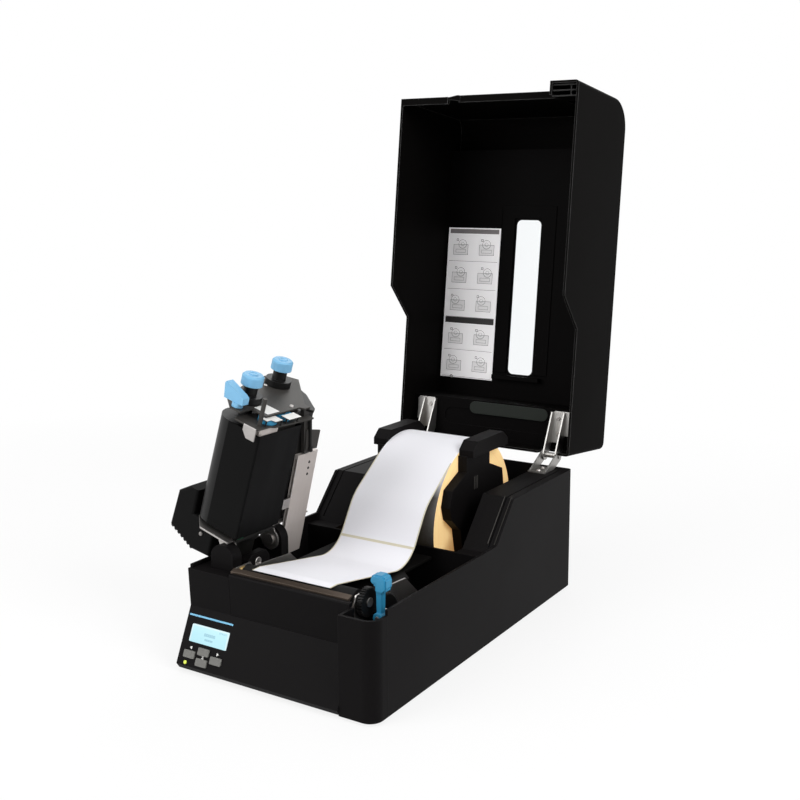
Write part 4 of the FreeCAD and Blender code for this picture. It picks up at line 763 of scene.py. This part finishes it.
def growPieces(name, growth, points, sizes, body, finish):
    # points: place, facing direction, direction of the piece's own x, stretch
    mesh = bpy.data.meshes.new(name)
    mesh.from_pydata([point[0] for point in points], [], [])
    facing = mesh.attributes.new("facing", "FLOAT_VECTOR", "POINT")
    stretch = mesh.attributes.new("stretch", "FLOAT_VECTOR", "POINT")
    for index, (up, along, scale) in enumerate(point[1:] for point in points):
        up = up.normalized()
        side = (along - up * along.dot(up)).normalized()
        frameAxes = Matrix((side, up.cross(side), up)).transposed()
        facing.data[index].vector = frameAxes.to_euler()
        stretch.data[index].vector = scale
    seed = bpy.data.objects.new(name + "Seed", mesh)
    bpy.context.scene.collection.objects.link(seed)
    modifier = seed.modifiers.new(name, "NODES")
    modifier.node_group = growth.tree
    for size, value in sizes.items():
        modifier[growth.keys[size]] = value
    modifier[growth.keys["Finish"]] = finishes[finish]
    bpy.context.view_layer.update()
    grown = bpy.data.meshes.new_from_object(seed.evaluated_get(bpy.context.evaluated_depsgraph_get()))
    grown.name = name
    seed.modifiers.remove(modifier)
    bpy.data.objects.remove(seed)
    shape = bmesh.new()
    shape.from_mesh(grown)
    bmesh.ops.recalc_face_normals(shape, faces=shape.faces)
    shape.to_mesh(grown)
    shape.free()
    return addPiece(name, grown, body, finish)


screws = screwTree()
ribs = ribTree()
# how far a screw's or rib's foot is let into its seat
sunk = 0.0001

# screw heads: body, turn, finish, slot and sizes, then for each the node, a start above it and the way down
fastenings = {
    "headScrews": ("head", "head", "steel", "steel", {"Radius": 0.0021, "Height": 0.0011}, [
        ("head_end_plate", (80, -100, 106), (-1, 0, 0)),
        ("head_end_plate", (80, -84, 150), (-1, 0, 0)),
        ("head_end_plate", (80, -112, 140), (-1, 0, 0)),
        ("gear_cover", (-65.3, -170, 139.9), (0, 1, 0)),
        ("gear_cover", (-76, -170, 142.1), (0, 1, 0)),
    ]),
    "armRivets": ("head", "arm", "blackSteel", "dark_steel",
                  {"Radius": 0.0015, "Height": 0.0005, "Slot": 0.0004}, [
        ("sensor_arm", (x, -60.5, 80), (0, 0, 1)) for x in (-2.3, -8.4, -14.5)
    ]),
    "lidScrews": ("lid", "lid", "steel", "steel", {"Radius": 0.0026, "Height": 0.0012}, [
        *(("lid_liner", (x, 120, 180), (0, 0, 1)) for x in (-84.9, 84.9)),
        *(("lid_hinge_leaves", (x, y, 140), (0, 0, 1)) for x in (-80, 80) for y in (150, 166)),
    ]),
    "caseScrews": ("case", "case", "steel", "steel", {"Radius": 0.0026, "Height": 0.0012}, [
        *(("hinge_brackets", (x, y, 150), (0, 0, -1)) for x in (-80, 80) for y in (158, 170)),
        *(("bottom_plate", (x, y, -20), (0, 0, 1)) for y in (-150, 150, 0) for x in (-88, 88)),
    ]),
}
for name, (body, turn, finish, slot, sizes, seats) in fastenings.items():
    points = []
    for count, (node, start, towards) in enumerate(seats):
        place, facing = landOn(node, start, towards, turn)
        spin = Matrix.Rotation(0.4 + 0.7 * count, 3, facing) @ facing.orthogonal()
        points.append((place - facing * sunk, facing, spin, (1, 1, 1)))
    growPieces(name, screws, points, sizes, body, finish)
print("fastenings:", sum(len(row[-1]) for row in fastenings.values()))

# grip ridges on the upper edge of the gear cover
gearRidges = {"count": 7, "sizes": {"Width": 0.0024, "Height": 0.0026}, "from": (-84, 180), "to": (-96, 150),
              "front": -141, "back": -128, "away": 30, "sunk": 0.0002}


def ridgeGearCover():
    points = []
    length = (gearRidges["back"] - gearRidges["front"]) / 1000
    middle = (gearRidges["front"] + gearRidges["back"]) / 2
    lower, upper = Vector(gearRidges["to"]), Vector(gearRidges["from"])
    outward = Vector((lower.y - upper.y, upper.x - lower.x)).normalized()
    for step in range(gearRidges["count"]):
        at = upper.lerp(lower, (step + 0.5) / gearRidges["count"])
        start = at + outward * gearRidges["away"]
        place, facing = landOn("gear_cover", (start.x, middle, start.y), (-outward.x, 0, -outward.y), "head")
        along = turns["head"].to_3x3() @ Vector((0, 1, 0))
        stretch = (length / gearRidges["sizes"]["Width"], 1, 1)
        points.append((place - facing * gearRidges["sunk"], facing, along, stretch))
    growPieces("gearCoverRidges", ribs, points, gearRidges["sizes"], "head", "coverGrey")


ridgeGearCover()
print("ridges:", gearRidges["count"])

# blank stickers: one on the upper plate, two on raised guards that half cover the dials
stickers = {
    "upperSticker": (59.5, [(-137, 102.5), (-120, 102.5), (-120, 119.5), (-137, 119.5)], []),
    "frontSticker": (57.3, [(-145, 96.6), (-139, 96.6), (-138, 92), (-127.5, 92), (-127.5, 103.5),
                            (-145, 103.5)], [(-144, 97.6), (-128.6, 93.1)]),
    "rearSticker": (57.3, [(-122.5, 89.5), (-104.5, 89.5), (-104.5, 99.5), (-122.5, 99.5)],
                    [(-106, 92.5), (-121, 93.5)]),
}
stickerSizes = {"thick": 0.15, "inset": 0.94, "guardThick": 0.5, "plateAt": 51.7, "postSides": 16}


def stickOn(name, x, outline, posts):
    under = x - stickerSizes["guardThick"]
    if posts:
        slab(name + "Guard", [(under, y, z) for y, z in outline], (stickerSizes["guardThick"], 0, 0),
             "head", "plateGrey", "head", 0.1)
    for count, (y, z) in enumerate(posts):
        foot, tip = [turns["head"] @ spot(level, y, z) for level in (stickerSizes["plateAt"], under)]
        long = (tip - foot).length * 1000
        profile = [(1.0, 0), (1.0, 0.6), (0.7, 1.0), (0.7, long)]
        lathe("%sPost%d" % (name, count + 1), foot, tip - foot, profile,
              "head", "blackSteel", stickerSizes["postSides"])
    middle = Vector((sum(y for y, z in outline), sum(z for y, z in outline))) / len(outline)
    inset = [middle + (Vector(corner) - middle) * stickerSizes["inset"] for corner in outline]
    slab(name, [(x, y, z) for y, z in inset], (stickerSizes["thick"], 0, 0),
         "head", "stickerWhite", "head", 0.05)


for name, sticker in stickers.items():
    stickOn(name, *sticker)

# black shield behind the film, between the left plate and the cap of the bridge
ribbonShield = {"outline": [(-60.4, -90.5), (50.2, -90.5), (50.2, -66), (-60.4, -62)],
                "level": 104, "thick": 0.8}
slab("ribbonShield", [(x, y, ribbonShield["level"]) for x, y in ribbonShield["outline"]],
     (0, 0, ribbonShield["thick"]), "head", "blackSteel", "head", 0.2)

# black wall under the right-hand edge of the upper plate
edgeWall = {"outline": [(-84, 92), (-78, 95.5), (-59, 120.4), (-50.3, 141.6), (-56, 146), (-60, 141),
                        (-66, 124), (-88, 101.5)], "at": 55.5, "thick": 2.3}
slab("edgeWall", [(edgeWall["at"], y, z) for y, z in edgeWall["outline"]], (edgeWall["thick"], 0, 0),
     "head", "blackSteel", "head", 0.4)

# small folded parts of the head
headTrim = {
    "filmGuard": {"outline": [(-60.4, 95.3), (-57.4, 95.3), (-57.4, 96.3), (-59.4, 96.3), (-59.4, 101.5),
                              (-60.4, 101.5)], "from": -150, "to": -96,
                  "finish": "blackSteel", "slot": "dark_steel"},
    "headConnector": {"outline": [(-59.3, 96.4), (-57.6, 96.4), (-57.6, 97.4), (-58.1, 97.4), (-58.1, 98.2),
                                  (-57.6, 98.2), (-57.6, 99), (-59.3, 99)], "from": -146, "to": -140,
                      "finish": "boardGreen", "slot": "circuit"},
    "frontTab": {"outline": [(40, 97), (51.8, 97), (51.8, 111), (46, 111), (40, 106)],
                 "from": -157, "to": -156, "finish": "steel", "slot": "steel"},
}
for name, made in headTrim.items():
    corners = [(x, made["from"], z) for x, z in made["outline"]]
    slab(name, corners, (0, made["to"] - made["from"], 0), "head", made["finish"], "head", 0.15)
armGusset = {"outline": [(36, -80), (31, -57.3), (12, -55.9), (14, -74)], "level": 97.4, "thick": 1.3}
slab("armGusset", [(x, y, armGusset["level"]) for x, y in armGusset["outline"]], (0, 0, armGusset["thick"]),
     "head", "plateGrey", "head", 0.2)

strapRod = {"from": (49, -80.5, 96.6), "to": (12, -67.2, 96.6), "radius": 1.6, "collar": 2.3, "collarLong": 5,
            "chamfer": 0.3}


def turnStrapRod():
    start, end = [turns["head"] @ spot(*strapRod[key]) for key in ("from", "to")]
    long = (end - start).length * 1000
    radius, collar, cut = strapRod["radius"], strapRod["collar"], strapRod["chamfer"]
    shoulder = long - strapRod["collarLong"]
    profile = [(radius - cut, 0), (radius, cut), (radius, shoulder), (collar, shoulder + cut),
               (collar, long - cut), (collar - cut, long)]
    lathe("strapRod", start, end - start, profile, "head", "blackSteel")


turnStrapRod()

# bracket block beside the film, with the eye of its bolt
bracketBlock = {
    "outline": [(-139, 66), (-109, 66), (-109, 92), (-114, 98.3), (-133, 98.3), (-139, 93)],
    "left": -71, "right": -62.2, "eye": (-126, 90), "eyeRadius": 4.2, "eyeSunk": 0.05,
}


def buildBracketBlock():
    made = bracketBlock
    corners = [(made["left"], y, z) for y, z in made["outline"]]
    slab("bracketBlock", corners, (made["right"] - made["left"], 0, 0),
         "case", "caseBlack", "case", 0.8)
    outer = made["eyeRadius"]
    profile = [(outer, 0), (outer, 0.6), (outer - 0.4, 0.9), (outer - 1.4, 0.9), (outer - 1.8, 0.3)]
    lathe("bracketEye", spot(made["right"] - made["eyeSunk"], *made["eye"]), (1, 0, 0), profile,
          "case", "steel")


buildBracketBlock()

# inside of the lid: frame round the window and a flat boss on the shelf behind it
lidTrim = {
    "windowFrame": [(-29, 110), (-29, -82), (38, -82), (38, 110), (20.5, 110), (20.5, -67.5), (-13.5, -67.5),
                    (-13.5, 110)],
    "frameLevel": 207.5, "frameThick": 1.0, "bossLevel": 155.5, "bossThick": 1.5,
    "bossEnds": (-29, 67), "bossSides": (141.5, 155), "bossSteps": 12,
}


def dressLid():
    level = lidTrim["frameLevel"]
    slab("windowFrame", [(x, y, level) for x, y in lidTrim["windowFrame"]], (0, 0, -lidTrim["frameThick"]),
         "lid", "linerBlack", "lid", 0.3)
    left, right = lidTrim["bossEnds"]
    front, back = lidTrim["bossSides"]
    radius, middle = (back - front) / 2, (front + back) / 2
    corners = []
    steps = lidTrim["bossSteps"]
    for centre, first in ((right - radius, -90), (left + radius, 90)):
        for step in range(steps + 1):
            angle = math.radians(first + step * 180 / steps)
            at = centre + radius * math.cos(angle)
            corners.append((at, middle + radius * math.sin(angle), lidTrim["bossLevel"]))
    slab("shelfBoss", corners, (0, 0, -lidTrim["bossThick"]),
         "lid", "shelfGrey", "lid", 0.3)


dressLid()

# ribs in the pocket at the lid's front corner, and the wide leaves of the hinges
lidCorner = {"left": 75.4, "right": 104, "low": 95.5, "high": 122, "ribs": (-194.6, -189, -183.4),
             "thick": 1.2, "post": 95, "postFoot": 0.5}
hingePlates = {"inner": 73.5, "outer": 97, "front": 142, "back": 168, "level": 155.6, "thick": 1.0,
               "corner": 2}


def dressLidEdges():
    made = lidCorner
    low, high = made["low"], made["high"]
    for count, y in enumerate(made["ribs"]):
        left, right = made["left"], made["right"]
        corners = [(left, y, low), (right, y, low), (right, y, high), (left, y, high)]
        slab("cornerRib%d" % (count + 1), corners, (0, made["thick"], 0),
             "lid", "lidBlack", "lid")
    first, last, foot = made["ribs"][0], made["ribs"][-1], low + made["postFoot"]
    corners = [(made["post"], y, z) for y, z in ((first, foot), (last, foot), (last, high), (first, high))]
    slab("cornerPost", corners, (made["thick"], 0, 0), "lid", "lidBlack", "lid")
    plate, cut = hingePlates, hingePlates["corner"]
    inner, outer, front, back = [plate[edge] for edge in ("inner", "outer", "front", "back")]
    outline = [(inner, front + cut), (inner + cut, front), (outer - cut, front), (outer, front + cut),
               (outer, back), (inner, back)]
    for side, name in ((-1, "leftHingePlate"), (1, "rightHingePlate")):
        slab(name, [(side * x, y, plate["level"]) for x, y in outline], (0, 0, -plate["thick"]),
             "lid", "hingeSteel", "lid", 0.2)


dressLidEdges()

# small arrow marks beside the keys, printed on the sloping panel
panelMarks = {
    "edge": (-169, 54.5), "slope": (-0.3997, -0.9166), "size": 1.5, "rise": 0.12,
    "arrows": [(-92.6, 35, "left"), (-62.2, 35, "right"), (-77.4, 40.2, "down"), (-77.4, 42.2, "down")],
}


def markPanel():
    size = panelMarks["size"]
    shapes = {"left": [(-size, 0), (size * 0.6, -size), (size * 0.6, size)],
              "right": [(size, 0), (-size * 0.6, size), (-size * 0.6, -size)],
              "down": [(0, size * 0.7), (-size, -size * 0.5), (size, -size * 0.5)]}
    slope = Vector(panelMarks["slope"])
    for count, (x, along, way) in enumerate(panelMarks["arrows"]):
        corners = []
        for across, down in shapes[way]:
            at = Vector(panelMarks["edge"]) + slope * (along + down)
            corners.append((x + across, at.x, at.y))
        push = Vector((0, slope.y, -slope.x)) * panelMarks["rise"]
        slab("panelArrow%d" % (count + 1), corners, push, "case", "stickerWhite", "case", 0)


markPanel()

# twin ribs down the sloping edge of the case, in a paler grey that paints highlight lines on them, and grip
# ribs on the outer face of the right-hand holder
slopeRibs = {"rows": (93.4, 100.4), "low": (20.5, 92.2), "high": (55.5, 130.4), "wide": 0.9, "rise": 0.7}
holderGrip = {"rows": (69.5, 72.5, 75.5), "from": 90, "level": 134, "long": 0.014,
              "sizes": {"Width": 0.0014, "Height": 0.0005}}


def addRibs():
    low, high = Vector(slopeRibs["low"]), Vector(slopeRibs["high"])
    up = Vector((-(high - low).y, (high - low).x)).normalized() * slopeRibs["rise"]
    for count, x in enumerate(slopeRibs["rows"]):
        wide = slopeRibs["wide"]
        corners = [(x, *low), (x + wide, *low), (x + wide, *high), (x, *high)]
        # painted highlight: the slope ribs take the paler grey of the plates against the black case
        slab("slopeRib%d" % (count + 1), corners, (0, *up), "case", "plateGrey", "case", 0.2)
    points = []
    for y in holderGrip["rows"]:
        start = (holderGrip["from"], y, holderGrip["level"])
        place, facing = landOn("media_holder_right", start, (-1, 0, 0), "case")
        stretch = (holderGrip["long"] / holderGrip["sizes"]["Width"], 1, 1)
        points.append((place - facing * sunk, facing, Vector((0, 0, 1)), stretch))
    growPieces("holderGrip", ribs, points, holderGrip["sizes"], "holder_right", "plateGrey")


addRibs()

# turned caps in the middle of the two ribbon knobs
knobCaps = {
    "supply_knob": ("supplyKnobCap", (130, -72, 146), "supply"),
    "takeup_knob": ("takeupKnobCap", (130, -130, 132), "takeup"),
}
capProfile = [(4.2, -0.1), (4.2, 0.5), (3.8, 0.8), (3.0, 0.8), (2.4, 0.35), (1.2, 0.3)]
for node, (name, start, body) in knobCaps.items():
    place, facing = landOn(node, start, (-1, 0, 0), "head")
    lathe(name, place, facing, capProfile, body, "knobBlue")
print("trim ready")

# head latch: rounded thumb block with its hook, on a slim arm and a bored barrel
latch = {
    "block": [(77.7, 104.5), (77.7, 110), (80.5, 113), (90, 113), (93, 110), (93, 101), (90, 97.5),
              (82, 97.5), (82, 104.5)],
    "arm": [(82.4, 75), (87.6, 75), (88.2, 98.5), (81.8, 98.5)],
    "front": -153, "back": -142, "armFront": -150.6, "armBack": -144.8,
    "pin": (85, 76), "bore": 2.15, "barrel": 4.8, "chamfer": 0.4, "barrelSides": 32,
}


def buildLatch():
    front, armFront = latch["front"], latch["armFront"]
    wide, armWide = latch["back"] - front, latch["armBack"] - armFront
    block = slab("latchBlock", [(x, front, z) for x, z in latch["block"]], (0, wide, 0),
                 "latch", "latchBlue", "case", 1.5)
    slab("latchArm", [(x, armFront, z) for x, z in latch["arm"]], (0, armWide, 0),
         "latch", "latchBlue", "case", 0.7)
    x, z = latch["pin"]
    bore, barrel, cut = latch["bore"], latch["barrel"], latch["chamfer"]
    profile = [(bore, 0), (barrel - cut, 0), (barrel, cut), (barrel, wide - cut), (barrel - cut, wide),
               (bore, wide)]
    lathe("latchBarrel", spot(x, front, z), (0, 1, 0), profile,
          "latch", "latchBlue", latch["barrelSides"], True)
    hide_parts("latch_lever")


buildLatch()
print("latch ready")

# studio: pale floor, soft lamps, white surround
studio = {
    "floorWide": 6.0,
    "floorBright": 0.93,
    "floorGlow": 0.82,
    "fadeFrom": 0.45,
    "fadeOver": 0.75,
    "surround": 0.20,
    "aim": (0.06, 0.16, 0.2),
    "lamps": [
        ("keyLamp", (1.70, -0.25, 1.25), 0.9, 24.0),
        ("fillLamp", (-0.70, -1.25, 1.00), 1.2, 20.0),
        ("topLamp", (0.1, 0.20, 1.9), 1.4, 8.0),
        ("backLamp", (-0.35, 1.65, 1.30), 1.2, 9.0),
    ],
}


def seenAs(graph):
    # 1 for what the camera sees straight, in a gloss or through a pane
    path = graph.node("ShaderNodeLightPath").socket.node
    camera, glossy, through = [Wire(graph, path.outputs["Is %s Ray" % name])
                               for name in ("Camera", "Glossy", "Transmission")]
    return (camera + glossy + through).clamped()


def layFloor():
    half = studio["floorWide"] / 2
    mesh = bpy.data.meshes.new("studioFloor")
    corners = [(-half, -half, 0), (half, -half, 0), (half, half, 0), (-half, half, 0)]
    mesh.from_pydata(corners, [], [(0, 1, 2, 3)])
    floor = bpy.data.objects.new("studioFloor", mesh)
    bpy.context.scene.collection.objects.link(floor)
    paint = Paint("floorPale")
    x, y = paint.split()[:2]
    far = (((x * x + y * y).root() - studio["fadeFrom"]) / studio["fadeOver"]).clamped()
    bright = studio["floorBright"]
    paint.set({"Base Color": (bright, bright, bright, 1), "Roughness": 0.9, "Specular IOR Level": 0.0})
    glow = paint.node("ShaderNodeEmission", None, {"Color": (1, 1, 1, 1), "Strength": 1.0})
    glowing = seenAs(paint) * (studio["floorGlow"] + far * (1 - studio["floorGlow"]))
    plain = Wire(paint, paint.shader.outputs[0])
    share = paint.node("ShaderNodeMixShader", None, {0: glowing, 1: plain, 2: glow})
    paint.tree.links.new(share.socket, paint.tree.nodes["Material Output"].inputs[0])
    mesh.materials.append(paint.material)


def hangLamps():
    aim = Vector(studio["aim"])
    for name, at, size, power in studio["lamps"]:
        lamp = bpy.data.lights.new(name, "AREA")
        lamp.size, lamp.energy = size, power
        held = bpy.data.objects.new(name, lamp)
        held.location = at
        held.rotation_euler = (aim - Vector(at)).to_track_quat("-Z", "Y").to_euler()
        bpy.context.scene.collection.objects.link(held)


def paintSurround():
    world = bpy.data.worlds.new("studioAir")
    bpy.context.scene.world = world
    world.use_nodes = True
    air = Graph(world.node_tree)
    level = studio["surround"] + seenAs(air) * (1 - studio["surround"])
    air.feed(world.node_tree.nodes["Background"].inputs["Strength"], level)
    world.node_tree.nodes["Background"].inputs["Color"].default_value = (1, 1, 1, 1)


layFloor()
hangLamps()
paintSurround()
print("studio ready")

# camera at the photograph's viewing angle
view = {
    "at": (0.6529, -0.70896, 0.42654),
    "turn": (81.21, 0.0, 31.70),
    "sensor": 36.0,
    "lens": 50.20,
    "shift": (-0.0220, -0.0545),
}
lensData = bpy.data.cameras.new("viewCamera")
lensData.sensor_width, lensData.lens = view["sensor"], view["lens"]
lensData.shift_x, lensData.shift_y = view["shift"]
camera = bpy.data.objects.new("viewCamera", lensData)
camera.location = view["at"]
camera.rotation_euler = [math.radians(angle) for angle in view["turn"]]
bpy.context.scene.collection.objects.link(camera)
bpy.context.scene.camera = camera
bpy.context.scene.view_settings.view_transform = "Standard"
